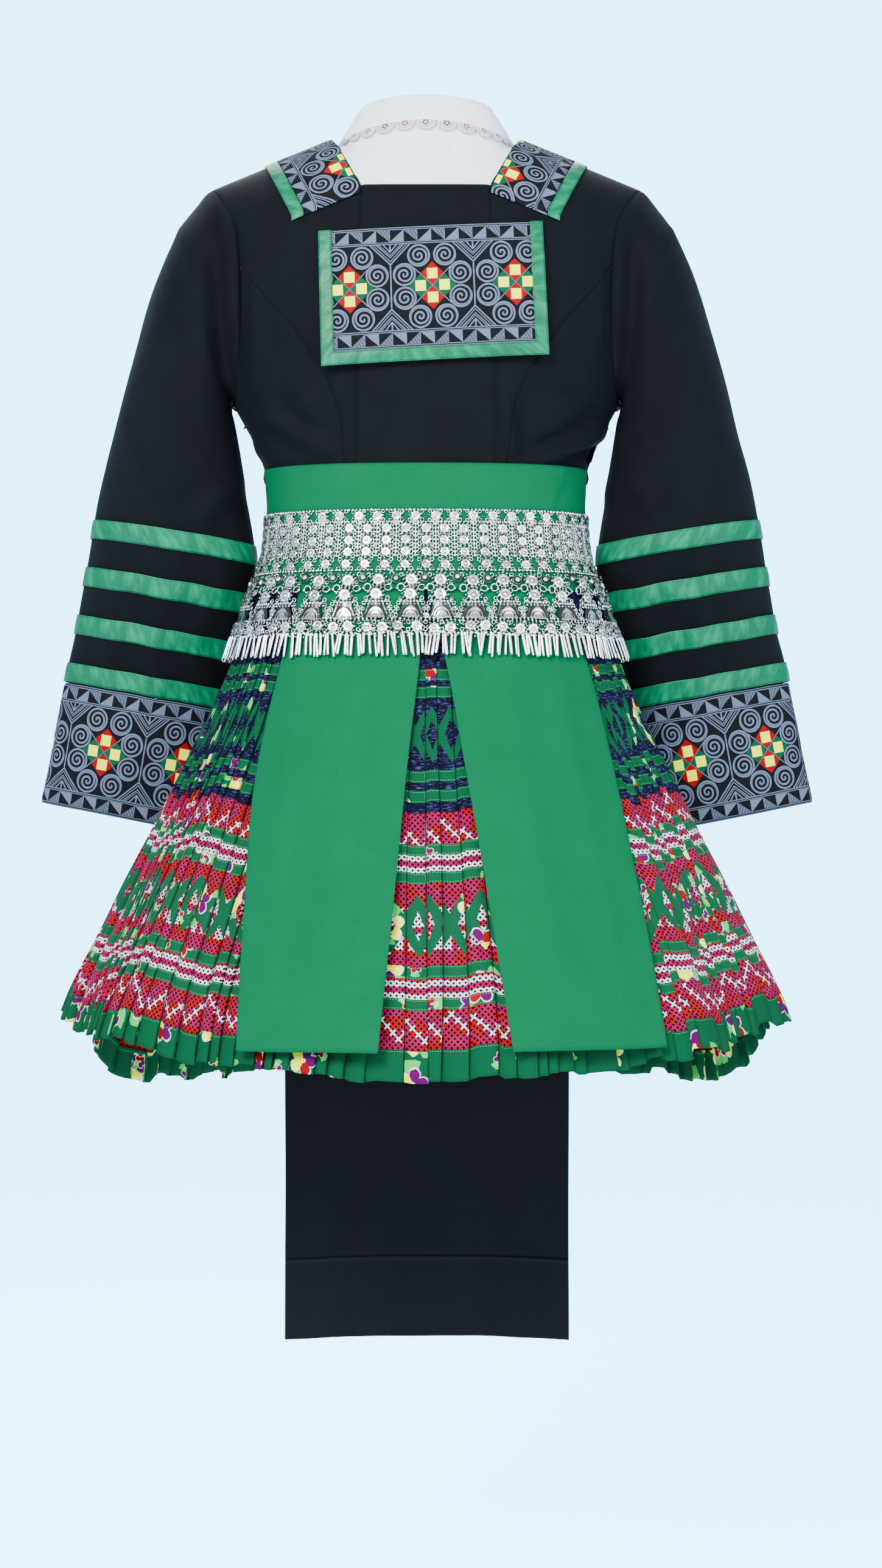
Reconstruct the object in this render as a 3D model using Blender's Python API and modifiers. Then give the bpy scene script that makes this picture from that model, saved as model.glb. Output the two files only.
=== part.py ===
"""A festival dress as it is worn: a black jacket with patterned cuffs and satin ribbons, an inner white
collar, a pleated skirt in tiers, a green sash with two tails, a silver coin belt and a long front apron.

Metres, +Z up. The back faces +Y and the wearer's left is +X. The origin lies between the two points where
the shoulder seams meet the neck, which is where the shoulders carry the garment.
"""
import math

import bmesh
import bpy
import numpy as np
from mathutils import Vector

# Wall thickness of each cloth, and the gaps that part one piece from the next.
JACKET_CLOTH = 0.0012
RIBBON_CLOTH = 0.0010
STRIP_CLOTH = 0.0011
BLOUSE_CLOTH = 0.0010
SKIRT_CLOTH = 0.0010
SASH_CLOTH = 0.0012
BELT_METAL = 0.0014
SEAM_GAP = 0.0006
RIDGE_GAP = 0.0005
ARMHOLE_GAP = 0.0009
LAYER_GAP = 0.0005

# Jacket body.
JACKET_HEM = -0.372
NECK_HALF = 0.086
SHOULDER_HALF = 0.200
SHOULDER_DROP = 0.0455
NECKLINE_HALF = 0.058
NECKLINE_DROP = 0.068
V_DEPTH = 0.216
RIDGE_ROUNDING = 0.075
ROUNDNESS = 2.4
ARMHOLE_TOP = -SHOULDER_DROP
ARMHOLE_BOTTOM = -0.240
ARM_STEPS = 8
SIDE_HEIGHTS = (-0.256, -0.273, -0.303, -0.338, JACKET_HEM)
PRINCESS_START = 80

# Back flap: corners as (x, height), starting at the top on the wearer's left.
FLAP_TOP_LEFT = (0.0958, -0.0965)
FLAP_TOP_RIGHT = (-0.1044, -0.0870)
FLAP_BOTTOM_LEFT = (0.0925, -0.2190)
FLAP_BOTTOM_RIGHT = (-0.1100, -0.2080)
FLAP_WIDTH = 0.205
FLAP_HEIGHT = 0.122
FLAP_LIFT = 0.0015
FLAP_CORNER_LIFT = 0.006
FLAP_OUT = 0.0022
FLAP_RIBBON = 0.012

# Bands that run from the back neckline over the shoulder and down the front edge.
BAND_INSET = 0.0004
BAND_WIDTH = 0.050
BAND_RIBBON = 0.0115
BAND_OUT = 2 * LAYER_GAP + STRIP_CLOTH

# Sleeve trims, by height on the centre line of the sleeve.
CUFF_TOP = -0.507
RIBBON_TOP = -0.357
RIBBON_HEIGHT = 0.0176
RIBBON_PITCH = 0.0437
RIBBON_COUNT = 4

# Inner collar, and the trim of scallops at its foot.
COLLAR_FOOT_HALF = 0.0810
COLLAR_TOP_HALF = 0.0600
COLLAR_SEGMENTS = 28
YOKE_INSET = 0.00245
LACE_CLOTH = 0.0008
LACE_OUT = 0.0030
LACE_DEPTH = 0.0120
LACE_SCALLOPS = 11
LACE_REACH = 74

# Sash, belt and waistband, by height.
SASH_TOP = -0.303
SASH_BOTTOM = -0.416
WAISTBAND_TOP = -0.338
SKIRT_TOP = -0.375
BELT_TOP = -0.344
BELT_BOTTOM = -0.400
BELL_BOTTOM = -0.443
FRINGE_TOP = -0.4435
FRINGE_ROOT = -0.4555
FRINGE_END = -0.478
BELL_COUNT = 30
BELL_STRIP = 0.006
BELL_HALVES = (0.17, 0.34)
STRAND_GROUPS = 22
STRANDS_PER_GROUP = 4
STRAND_HALVES = (0.20, 0.20)

# How far each layer's outer face stands off the form of the worn jacket.
WAISTBAND_OUT = 1.5 * LAYER_GAP + SKIRT_CLOTH
SASH_TOP_OUT = 2 * LAYER_GAP + SASH_CLOTH
SASH_OUT = 3 * LAYER_GAP + SKIRT_CLOTH + SASH_CLOTH
TAIL_OUT = SASH_OUT + 0.0004
BELT_OUT = SASH_OUT + LAYER_GAP + BELT_METAL
BELL_OUT = BELT_OUT + 3 * LAYER_GAP
FRINGE_OUT = BELL_OUT + SASH_CLOTH

# Skirt.
PLEAT_COUNT = 96
PLEAT_FOLD = 0.74
PLEAT_DEPTH_TOP = 0.0022
PLEAT_DEPTH_HEM = 0.0058
HEM_BACK = -0.835
HEM_SIDE = -0.803
HEM_FRONT = -0.874
TIER_SEAM = 0.515
HEM_BAND_SEAM = 0.944
TIER_GAP = 0.0016
HEM_LIFT = 0.10

# Apron.
APRON_HALF_TOP = 0.118
APRON_HALF = 0.1425
APRON_SEAM = -1.066
APRON_BOTTOM = -1.145
APRON_FREE = -0.860

RING_COLUMNS = 40


def table(names, *rows):
    """Named columns from rows of numbers. The first column rises."""
    return dict(zip(names.split(), np.array(rows, float).T))


# Half width, and depth behind and in front of the shoulder line, of the worn jacket.
TORSO = table(
    "height width back front",
    (-0.420, 0.1460, 0.092, 0.100),
    (-0.375, 0.1430, 0.090, 0.098),
    (-0.340, 0.1430, 0.090, 0.099),
    (-0.303, 0.1472, 0.093, 0.106),
    (-0.273, 0.1590, 0.098, 0.120),
    (-0.240, 0.1760, 0.103, 0.133),
    (-0.190, 0.1840, 0.106, 0.133),
    (-0.137, 0.1910, 0.104, 0.118),
    (-0.098, 0.2000, 0.096, 0.098),
    (-0.056, 0.2080, 0.088, 0.082),
    (0.000, 0.2150, 0.080, 0.074),
    (0.041, 0.2150, 0.075, 0.070),
)

# The form that sash, belt and skirt follow below the jacket.
LOWER = table(
    "height width back front roundness flute",
    (-0.900, 0.346, 0.312, 0.285, 2.0, 1.00),
    (-0.790, 0.322, 0.262, 0.247, 2.0, 0.92),
    (-0.700, 0.281, 0.219, 0.211, 2.0, 0.70),
    (-0.610, 0.238, 0.180, 0.177, 2.0, 0.42),
    (-0.540, 0.205, 0.151, 0.150, 2.0, 0.20),
    (-0.470, 0.1750, 0.1235, 0.1275, 2.1, 0.05),
    (-0.420, 0.1590, 0.1065, 0.1130, 2.3, 0.0),
    (-0.375, 0.1450, 0.0920, 0.1000, 2.4, 0.0),
    (-0.340, 0.1430, 0.0900, 0.0990, 2.4, 0.0),
    (-0.303, 0.1472, 0.0930, 0.1060, 2.4, 0.0),
    (-0.280, 0.1560, 0.0970, 0.1160, 2.4, 0.0),
)

# Uneven flutes of the skirt: angle from the centre back towards the wearer's left, spread, and height.
FLUTES = table(
    "angle spread height",
    (-171, 12, 0.050),
    (-139, 13, 0.064),
    (-108, 11, 0.058),
    (-77, 12, 0.072),
    (-44, 11, 0.074),
    (-16, 9, 0.046),
    (19, 10, 0.050),
    (56, 12, 0.078),
    (87, 11, 0.070),
    (118, 13, 0.062),
    (150, 11, 0.054),
)

# Armhole, from the shoulder tip round to the underarm.
ARMHOLE = table(
    "turn back front",
    (0, 0.2000, 0.2000),
    (30, 0.1860, 0.1830),
    (52, 0.1735, 0.1690),
    (75, 0.1690, 0.1635),
    (120, 0.1690, 0.1640),
    (150, 0.1720, 0.1690),
    (180, 0.1760, 0.1760),
)

# The two shaped seams on each side of the back.
CENTRE_SEAM = table("height x", (-0.375, 0.0640), (-0.220, 0.0615), (-0.056, 0.0580))
PRINCESS_SEAM = table(
    "height x",
    (-0.375, 0.0720),
    (-0.300, 0.0735),
    (-0.250, 0.0810),
    (-0.220, 0.0935),
    (-0.190, 0.1130),
    (-0.160, 0.1380),
    (-0.135, 0.1590),
    (-0.119, 0.1690),
)

# Sleeve sections below the armhole: outer and inner edge, how far forward, and half depth.
SLEEVE = table(
    "section outer_x outer_z inner_x inner_z y depth",
    (1, 0.2265, -0.0800, 0.1768, -0.2425, 0.001, 0.0600),
    (2, 0.2465, -0.1260, 0.1770, -0.2455, 0.002, 0.0605),
    (3, 0.2640, -0.1820, 0.1768, -0.2500, 0.001, 0.0590),
    (4, 0.2805, -0.2440, 0.1745, -0.2620, -0.002, 0.0565),
    (5, 0.2990, -0.3100, 0.1640, -0.3300, -0.012, 0.0520),
    (6, 0.3130, -0.3740, 0.1585, -0.4000, -0.032, 0.0460),
    (7, 0.3285, -0.4420, 0.1780, -0.4700, -0.065, 0.0400),
    (8, 0.3430, -0.4950, 0.1875, -0.5230, -0.088, 0.0360),
    (9, 0.3690, -0.6065, 0.2050, -0.6385, -0.122, 0.0310),
)

# Tails of the sash, by height: edge nearer the centre back and outer edge.
TAIL_LEFT = table(
    "height near far",
    (-0.808, 0.0400, 0.1590),
    (-0.700, 0.0300, 0.1570),
    (-0.565, 0.0180, 0.1500),
    (-0.475, 0.0085, 0.1330),
    (-0.4165, 0.0010, 0.1180),
)
TAIL_RIGHT = table(
    "height near far",
    (-0.803, 0.0740, 0.2020),
    (-0.700, 0.0560, 0.1840),
    (-0.565, 0.0320, 0.1580),
    (-0.475, 0.0160, 0.1370),
    (-0.4165, 0.0010, 0.1180),
)


def smooth(columns, name, at):
    """The named column at a value of the first one, on a smooth curve through the rows."""
    keys = next(iter(columns.values()))
    values = columns[name]
    slopes = np.gradient(values, keys)
    low = int(np.clip(np.searchsorted(keys, at) - 1, 0, len(keys) - 2))
    width = keys[low + 1] - keys[low]
    t = min(max((at - keys[low]) / width, 0.0), 1.0)
    start, end = values[low], values[low + 1]
    return float(
        start * (1 + 2 * t) * (1 - t) ** 2
        + end * t * t * (3 - 2 * t)
        + width * (slopes[low] * t * (1 - t) ** 2 - slopes[low + 1] * t * t * (1 - t))
    )


def lerp(start, end, t):
    return start + (end - start) * t


def power(value, exponent):
    return math.copysign(abs(value) ** exponent, value)


# Objects and materials.
def clear_scene():
    for obj in list(bpy.data.objects):
        bpy.data.objects.remove(obj, do_unlink=True)


def make_material(name, colour, roughness, metallic=0.0):
    material = bpy.data.materials.new(name)
    material.use_nodes = True
    shader = material.node_tree.nodes["Principled BSDF"]
    shader.inputs["Base Color"].default_value = (*colour, 1.0)
    shader.inputs["Roughness"].default_value = roughness
    shader.inputs["Metallic"].default_value = metallic
    material.diffuse_color = (*colour, 1.0)
    return material


def add_object(name, mesh, material):
    obj = bpy.data.objects.new(name, mesh)
    obj.data.materials.append(material)
    bpy.data.collections["festival dress"].objects.link(obj)
    return obj


def cloth(name, rows, thickness, material, closed=False):
    """A sheet of cloth through rows of points, thickened inwards. Rows run downwards, and their points run
    to the left as seen from outside."""
    bm = bmesh.new()
    grid = [[bm.verts.new(point) for point in row] for row in rows]
    across = len(rows[0])
    for upper, lower in zip(grid, grid[1:]):
        for i in range(across if closed else across - 1):
            j = (i + 1) % across
            bm.faces.new((upper[i], upper[j], lower[j], lower[i]))
    mesh = bpy.data.meshes.new(name)
    bm.to_mesh(mesh)
    bm.free()
    obj = add_object(name, mesh, material)
    wall = obj.modifiers.new("wall", "SOLIDIFY")
    wall.thickness = thickness
    wall.offset = -1.0
    mesh.shade_smooth()
    return obj


def reversed_rows(rows):
    return [row[::-1] for row in rows]


def mirrored(rows):
    """The same piece on the wearer's other side."""
    return [[Vector((-p.x, p.y, p.z)) for p in row[::-1]] for row in rows]


# Jacket body.
def shoulder_height(x):
    slope = SHOULDER_DROP / (SHOULDER_HALF - NECK_HALF)
    return slope * (NECK_HALF - max(abs(x), NECKLINE_HALF))


def torso_depth(x, height, face):
    """How far the worn jacket stands behind (face 1) or in front (face -1) of the shoulder line."""
    width = smooth(TORSO, "width", height)
    depth = smooth(TORSO, "back" if face > 0 else "front", height)
    across = min(abs(x) / width, 1.0)
    below_ridge = min(max(shoulder_height(x) - height, 0.0) / RIDGE_ROUNDING, 1.0)
    ridge = math.sqrt(1 - (1 - below_ridge) ** 2)
    return depth * (1 - across**ROUNDNESS) ** (1 / ROUNDNESS) * ridge


def on_panel(x, height, face):
    """A point of a jacket panel, which stops a little short of the shoulder and side seams."""
    return Vector((x, face * max(torso_depth(x, height, face), RIDGE_GAP), height))


def on_torso(x, below, out=0.0):
    """A point that lies below the shoulder ridge, behind it if positive, moved out along the normal."""

    def base(x, below):
        face = 1 if below >= 0 else -1
        height = shoulder_height(x) - abs(below)
        return Vector((x, face * torso_depth(x, height, face), height))

    point = base(x, below)
    if not out:
        return point
    step = 0.002
    along_x = base(x + step, below) - base(x - step, below)
    along_below = base(x, below + step) - base(x, below - step)
    return point + along_x.cross(along_below).normalized() * out


def height_fraction(x, height):
    return (height - JACKET_HEM) / (shoulder_height(x) - JACKET_HEM)


def panel_rows(inner_edge, outer_edge, columns, face):
    """Rows between two edges, given as (x, height) from the top down, on the form of the worn jacket."""
    rows = []
    for (x_in, z_in), (x_out, z_out) in zip(inner_edge, outer_edge):
        width = max(smooth(TORSO, "width", z_out), abs(x_out), abs(x_in))
        turn_in = math.asin(power(x_in / width, ROUNDNESS / 2))
        turn_out = math.asin(power(x_out / width, ROUNDNESS / 2))
        up_in, up_out = height_fraction(x_in, z_in), height_fraction(x_out, z_out)
        row = []
        for i in range(columns + 1):
            t = i / columns
            x = width * power(math.sin(lerp(turn_in, turn_out, t)), 2 / ROUNDNESS)
            height = lerp(JACKET_HEM, shoulder_height(x), lerp(up_in, up_out, t))
            row.append(on_panel(x, height, face))
        rows.append(row)
    return rows if face > 0 else reversed_rows(rows)


def armhole_edge(turn, face):
    """(x, height) of the armhole at a turn in degrees from the shoulder tip."""
    middle = (ARMHOLE_TOP + ARMHOLE_BOTTOM) / 2
    height = middle + (ARMHOLE_TOP - middle) * math.cos(math.radians(turn))
    x = smooth(ARMHOLE, "back" if face > 0 else "front", turn)
    return x, max(height, ARMHOLE_BOTTOM)


def side_edge(height):
    return smooth(TORSO, "width", height), height


def arm_turns():
    return [180 * i / ARM_STEPS for i in range(ARM_STEPS + 1)]


def princess_edge(side):
    """(x, height) down the princess seam from the armhole to the hem, on one side of its gap."""
    turns = [PRINCESS_START] + [turn for turn in arm_turns() if turn > PRINCESS_START]
    heights = [armhole_edge(turn, 1)[1] for turn in turns] + list(SIDE_HEIGHTS)
    return [(smooth(PRINCESS_SEAM, "x", z) + side * SEAM_GAP / 2, z) for z in heights]


def make_back_centre(material):
    heights = (-0.056, -0.090, -0.125, -0.165, -0.205, -0.240, -0.273, -0.303, -0.338, JACKET_HEM)
    edges = [(smooth(CENTRE_SEAM, "x", z) - SEAM_GAP / 2, z) for z in heights]
    rows = panel_rows([(-x, z) for x, z in edges], edges, 6, 1)
    cloth("jacket_back_centre", rows, JACKET_CLOTH, material)


def make_back_mids(material):
    """From the shoulder seam to the waist, between the centre seam and the armhole or princess seam."""
    neck_steps = 3
    inner = []
    for i in range(neck_steps + 1):
        x = lerp(NECK_HALF, NECKLINE_HALF, i / neck_steps) + SEAM_GAP / 2
        inner.append((x, shoulder_height(x) - NECKLINE_DROP * i / neck_steps))
    outer = [armhole_edge(turn, 1) for turn in arm_turns() if turn < PRINCESS_START]
    outer += princess_edge(-1)
    heights = (-0.125, -0.150, -0.180, -0.205, -0.225, -0.240, -0.256, -0.273, -0.303, -0.338, JACKET_HEM)
    inner += [(smooth(CENTRE_SEAM, "x", z) + SEAM_GAP / 2, z) for z in heights]
    rows = panel_rows(inner, outer, 4, 1)
    cloth("jacket_back_mid_left", rows, JACKET_CLOTH, material)
    cloth("jacket_back_mid_right", mirrored(rows), JACKET_CLOTH, material)


def make_back_sides(material):
    inner = princess_edge(1)
    turns = [PRINCESS_START] + [turn for turn in arm_turns() if turn > PRINCESS_START]
    outer = [armhole_edge(turn, 1) for turn in turns] + [side_edge(z) for z in SIDE_HEIGHTS]
    rows = panel_rows(inner, outer, 4, 1)
    cloth("jacket_back_side_left", rows, JACKET_CLOTH, material)
    cloth("jacket_back_side_right", mirrored(rows), JACKET_CLOTH, material)


def front_edge(drop):
    """(x, height) of the front's inner edge: the V of the neck, then the centre front."""
    x = max(NECK_HALF * (1 - drop / V_DEPTH), SEAM_GAP / 2)
    return x, shoulder_height(x) - drop


def make_fronts(material):
    """From the shoulder seam to the waist, with a V at the neck."""
    outer = [armhole_edge(turn, -1) for turn in arm_turns()]
    outer += [side_edge(z) for z in SIDE_HEIGHTS]
    drops = (0.0, 0.016, 0.040, 0.072, 0.110, 0.145, 0.177, 0.202, 0.220)
    inner = [front_edge(drop) for drop in drops]
    inner += [(SEAM_GAP / 2, z) for z in (-0.240, -0.273, -0.303, -0.338, JACKET_HEM)]
    rows = panel_rows(inner, outer, 6, -1)
    cloth("jacket_front_left", rows, JACKET_CLOTH, material)
    cloth("jacket_front_right", mirrored(rows), JACKET_CLOTH, material)


# Shoulder bands and their ribbons.
def band_edge(below):
    """The band's edge next to the neck, at a distance below the shoulder ridge (negative in front)."""
    if below >= 0:
        return lerp(NECK_HALF, NECKLINE_HALF, min(below / NECKLINE_DROP, 1.0))
    return max(NECK_HALF * (1 + below / V_DEPTH), ARMHOLE_GAP)


def band_rows(start, end, columns):
    """Rows between two distances from the neck edge, up the front, over the shoulder and down the back."""
    stations = [-0.285, -0.255, -0.225, -0.200, -0.170, -0.140, -0.110, -0.080, -0.055]
    stations += [-0.033, -0.017, -0.006, 0.0, 0.006, 0.017, 0.034, 0.055, 0.073]
    return [
        [
            on_torso(band_edge(below) + lerp(start, end, i / columns), below, BAND_OUT)
            for i in range(columns + 1)
        ]
        for below in stations
    ]


def make_shoulder_bands(pattern, satin):
    strip = band_rows(BAND_INSET, BAND_WIDTH, 3)
    cloth("shoulder_band_left", strip, STRIP_CLOTH, pattern)
    cloth("shoulder_band_right", mirrored(strip), STRIP_CLOTH, pattern)
    ribbon = band_rows(BAND_WIDTH + SEAM_GAP, BAND_WIDTH + BAND_RIBBON, 1)
    cloth("shoulder_ribbon_left", ribbon, RIBBON_CLOTH, satin)
    cloth("shoulder_ribbon_right", mirrored(ribbon), RIBBON_CLOTH, satin)


# Back flap.
def flap_point(across, down, out):
    """A point of the flap, from its top corner on the wearer's left, with its lower corners lifted."""
    top = [lerp(a, b, across) for a, b in zip(FLAP_TOP_LEFT, FLAP_TOP_RIGHT)]
    bottom = [lerp(a, b, across) for a, b in zip(FLAP_BOTTOM_LEFT, FLAP_BOTTOM_RIGHT)]
    x, height = (lerp(a, b, down) for a, b in zip(top, bottom))
    lift = down * (FLAP_LIFT + FLAP_CORNER_LIFT * (2 * across - 1) ** 2)
    return Vector((x, torso_depth(x, height, 1) + lift + out, height))


def make_flap(pattern, satin):
    columns, steps = 8, 5
    rows = [
        [flap_point(1 - i / columns, j / steps, FLAP_OUT) for i in range(columns + 1)]
        for j in range(steps + 1)
    ]
    cloth("back_flap", rows, JACKET_CLOTH, pattern)
    wide = FLAP_RIBBON / FLAP_WIDTH
    tall = FLAP_RIBBON / FLAP_HEIGHT
    over = FLAP_OUT + LAYER_GAP + RIBBON_CLOTH
    outer = [(0.0, j / steps) for j in range(steps)] + [(i / columns, 1.0) for i in range(columns)]
    outer += [(1.0, 1 - j / steps) for j in range(steps + 1)]
    inner = [(wide, j / steps * (1 - tall)) for j in range(steps)]
    inner += [(lerp(wide, 1 - wide, i / columns), 1 - tall) for i in range(columns)]
    inner += [(1 - wide, (1 - j / steps) * (1 - tall)) for j in range(steps + 1)]
    rows = [[flap_point(a, d, over) for a, d in edge] for edge in (inner, outer)]
    cloth("back_flap_ribbon", reversed_rows(rows), RIBBON_CLOTH, satin)


# Sleeves, cuffs and sleeve ribbons.
def sleeve_ring(section, out=0.0):
    """Closed section of the left sleeve, from its outer edge over the front to its inner edge and back."""
    outer = Vector((smooth(SLEEVE, "outer_x", section), 0, smooth(SLEEVE, "outer_z", section)))
    inner = Vector((smooth(SLEEVE, "inner_x", section), 0, smooth(SLEEVE, "inner_z", section)))
    centre = (outer + inner) / 2
    centre.y = smooth(SLEEVE, "y", section)
    across = (outer - inner) / 2
    deep = Vector((0, -1, 0))
    half_width = across.length + out
    half_depth = smooth(SLEEVE, "depth", section) + out
    ring = []
    for i in range(2 * ARM_STEPS):
        turn = math.pi * i / ARM_STEPS
        ring.append(
            centre + across.normalized() * half_width * math.cos(turn) + deep * half_depth * math.sin(turn)
        )
    return ring


def sleeve_centre(section):
    x = (smooth(SLEEVE, "outer_x", section) + smooth(SLEEVE, "inner_x", section)) / 2
    z = (smooth(SLEEVE, "outer_z", section) + smooth(SLEEVE, "inner_z", section)) / 2
    return Vector((x, smooth(SLEEVE, "y", section), z))


def section_at(height):
    """The section whose centre hangs at this height."""
    low, high = 4.0, 9.0
    while high - low > 1e-5:
        middle = (low + high) / 2
        if sleeve_centre(middle).z > height:
            low = middle
        else:
            high = middle
    return low


def armhole_ring():
    """The armhole as the sleeve's first ring, a little outside the jacket panels."""
    ring = []
    for face, turns in ((-1, arm_turns()[:-1]), (1, arm_turns()[:0:-1])):
        for turn in turns:
            x, height = armhole_edge(turn, face)
            depth = 0.0 if turn in (0, 180) else torso_depth(x, height, face)
            ring.append(Vector((x + ARMHOLE_GAP, face * depth, height)))
    return ring


def make_sleeves(suiting, pattern, satin):
    tops = [RIBBON_TOP - RIBBON_PITCH * i for i in range(RIBBON_COUNT)]
    edges = [(section_at(top), section_at(top - RIBBON_HEIGHT)) for top in tops]
    sections = [1, 2, 3, 4, 5] + [section for pair in edges for section in pair]
    sections[-1] = section_at(CUFF_TOP + SEAM_GAP)
    rows = [armhole_ring()] + [sleeve_ring(section) for section in sections]
    cloth("sleeve_left", rows, JACKET_CLOTH, suiting, closed=True)
    cloth("sleeve_right", mirrored(rows), JACKET_CLOTH, suiting, closed=True)
    cuff_top = section_at(CUFF_TOP)
    rows = [sleeve_ring(lerp(cuff_top, 9.0, t)) for t in (0.0, 0.5, 1.0)]
    cloth("cuff_left", rows, JACKET_CLOTH, pattern, closed=True)
    cloth("cuff_right", mirrored(rows), JACKET_CLOTH, pattern, closed=True)
    for i, pair in enumerate(edges):
        rows = [sleeve_ring(section, LAYER_GAP + RIBBON_CLOTH) for section in pair]
        cloth(f"sleeve_ribbon_left_{i + 1}", rows, RIBBON_CLOTH, satin, closed=True)
        cloth(f"sleeve_ribbon_right_{i + 1}", mirrored(rows), RIBBON_CLOTH, satin, closed=True)


# Inner collar, yoke and lace.
YOKE = table(
    "turn edge_x edge_below under_x under_below",
    (0, 0.0000, 0.0680, 0.0000, 0.0820),
    (20, 0.0290, 0.0680, 0.0310, 0.0820),
    (40, 0.0560, 0.0680, 0.0640, 0.0800),
    (58, 0.0660, 0.0430, 0.0760, 0.0500),
    (74, 0.0750, 0.0220, 0.0870, 0.0250),
    (90, 0.0845, 0.0000, 0.0975, 0.0000),
    (105, 0.0725, -0.0300, 0.0870, -0.0320),
    (120, 0.0587, -0.0650, 0.0730, -0.0670),
    (135, 0.0447, -0.1000, 0.0590, -0.1030),
    (150, 0.0290, -0.1400, 0.0430, -0.1440),
    (165, 0.0135, -0.1800, 0.0270, -0.1860),
    (180, 0.0000, -0.2120, 0.0000, -0.2320),
)


def collar_point(turn, top, out=0.0):
    """A point of the collar's foot (top 0) or upper edge (top 1), at a turn from the centre back."""
    angle = math.radians(turn)
    tip = math.cos(angle)
    width = lerp(COLLAR_FOOT_HALF, COLLAR_TOP_HALF, top) + out
    if tip > 0:
        depth, foot, edge = lerp(0.0660, 0.0520, top), 0.0130, 0.0030
    else:
        depth, foot, edge = lerp(0.0700, 0.0560, top), 0.0300, 0.0260
    curve = tip * abs(tip)
    height = lerp(-0.0035 + foot * curve, 0.0310 + edge * curve, top)
    return Vector((width * math.sin(angle), (depth + out) * tip, height))


def make_blouse(white, satin_white, lace):
    turns = [360 * i / COLLAR_SEGMENTS for i in range(COLLAR_SEGMENTS)]
    rows = [[collar_point(turn, top) for turn in turns] for top in (1.0, 0.0)]
    cloth("inner_collar", rows, BLOUSE_CLOTH, white, closed=True)
    half = []
    for i, turn in enumerate(YOKE["turn"]):
        foot = collar_point(turn, 0.0, -0.0018) + Vector((0, 0, -0.0020))
        edge = on_torso(YOKE["edge_x"][i], YOKE["edge_below"][i], -YOKE_INSET)
        under = on_torso(YOKE["under_x"][i], YOKE["under_below"][i], -YOKE_INSET)
        half.append((foot, edge, under))
    columns = half + [tuple(mirror_if(p, -1) for p in points) for points in half[-2:0:-1]]
    rows = [[points[level] for points in columns] for level in range(3)]
    cloth("inner_yoke", rows, BLOUSE_CLOTH, satin_white, closed=True)
    make_lace(half, lace)


def make_lace(half, material):
    """Scalloped trim that hangs from the collar's foot over the back of the yoke."""
    per_scallop = 3
    upper, lower = [], []
    turns = YOKE["turn"]
    for i in range(LACE_SCALLOPS * per_scallop + 1):
        phase = i / per_scallop
        turn = lerp(-LACE_REACH, LACE_REACH, phase / LACE_SCALLOPS)
        column = min(int(np.searchsorted(turns, abs(turn))) or 1, len(turns) - 1)
        t = (abs(turn) - turns[column - 1]) / (turns[column] - turns[column - 1])
        foot = half[column - 1][0].lerp(half[column][0], t)
        edge = half[column - 1][1].lerp(half[column][1], t)
        wave = abs(math.sin(math.pi * phase)) ** 0.6
        fall = min(LACE_DEPTH, (edge - foot).length * 0.8) * lerp(0.70, 1.0, wave)
        out = Vector((0.6 * foot.x, foot.y, 0.06)).normalized() * LACE_OUT
        down = (edge - foot).normalized()
        side = math.copysign(1.0, turn)
        upper.append(mirror_if(foot + down * 0.0016 + out, side))
        lower.append(mirror_if(foot + down * fall + out, side))
    cloth("collar_lace", [upper, lower], LACE_CLOTH, material)


def mirror_if(point, side):
    """The point, or its mirror image on the wearer's other side where side is -1."""
    return Vector((point.x * side, point.y, point.z))


# Forms below the waist.
def flute(turn):
    """The share by which the flutes widen the skirt at an angle from the centre back, in degrees."""
    total = 0.0
    for angle, spread, height in zip(FLUTES["angle"], FLUTES["spread"], FLUTES["height"]):
        away = (turn - angle + 180) % 360 - 180
        total += height * math.exp(-((away / spread) ** 2))
    return total - 0.5 * FLUTES["height"].max()


def on_lower(turn, height, out=0.0, flutes=True):
    """A point of the form below the waist, moved out level with the floor."""
    angle = math.radians(turn)
    s, c = math.sin(angle), math.cos(angle)
    exponent = 2 / smooth(LOWER, "roundness", height)
    width = smooth(LOWER, "width", height)
    depth = smooth(LOWER, "back" if c > 0 else "front", height)
    swell = 1 + flute(turn) * smooth(LOWER, "flute", height) if flutes else 1.0
    x, y = width * power(s, exponent) * swell, depth * power(c, exponent) * swell
    away = Vector((s / width, c / depth, 0)).normalized()
    return Vector((x, y, height)) + away * out


def lower_depth(x, height, face, out):
    """How far behind or in front the form's crests stand at one x, moved out."""
    crest = 1 + 0.5 * FLUTES["height"].max() * smooth(LOWER, "flute", height)
    exponent = smooth(LOWER, "roundness", height)
    width = smooth(LOWER, "width", height) * crest + out
    depth = smooth(LOWER, "back" if face > 0 else "front", height) * crest + out
    return face * depth * (1 - min(abs(x) / width, 1.0) ** exponent) ** (1 / exponent)


def ring(height, out):
    return [on_lower(360 * i / RING_COLUMNS, height, out) for i in range(RING_COLUMNS)]


def hem_height(turn):
    """Height of the hem at an angle from the centre back, lower in front and raised by each flute."""
    tip = math.cos(math.radians(turn))
    if tip > 0:
        level = lerp(HEM_SIDE, HEM_BACK, tip * tip)
    else:
        t = min(max((-tip - 0.15) / 0.42, 0.0), 1.0)
        level = lerp(HEM_SIDE, HEM_FRONT, t * t * (3 - 2 * t))
    return level + HEM_LIFT * flute(turn)


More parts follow.
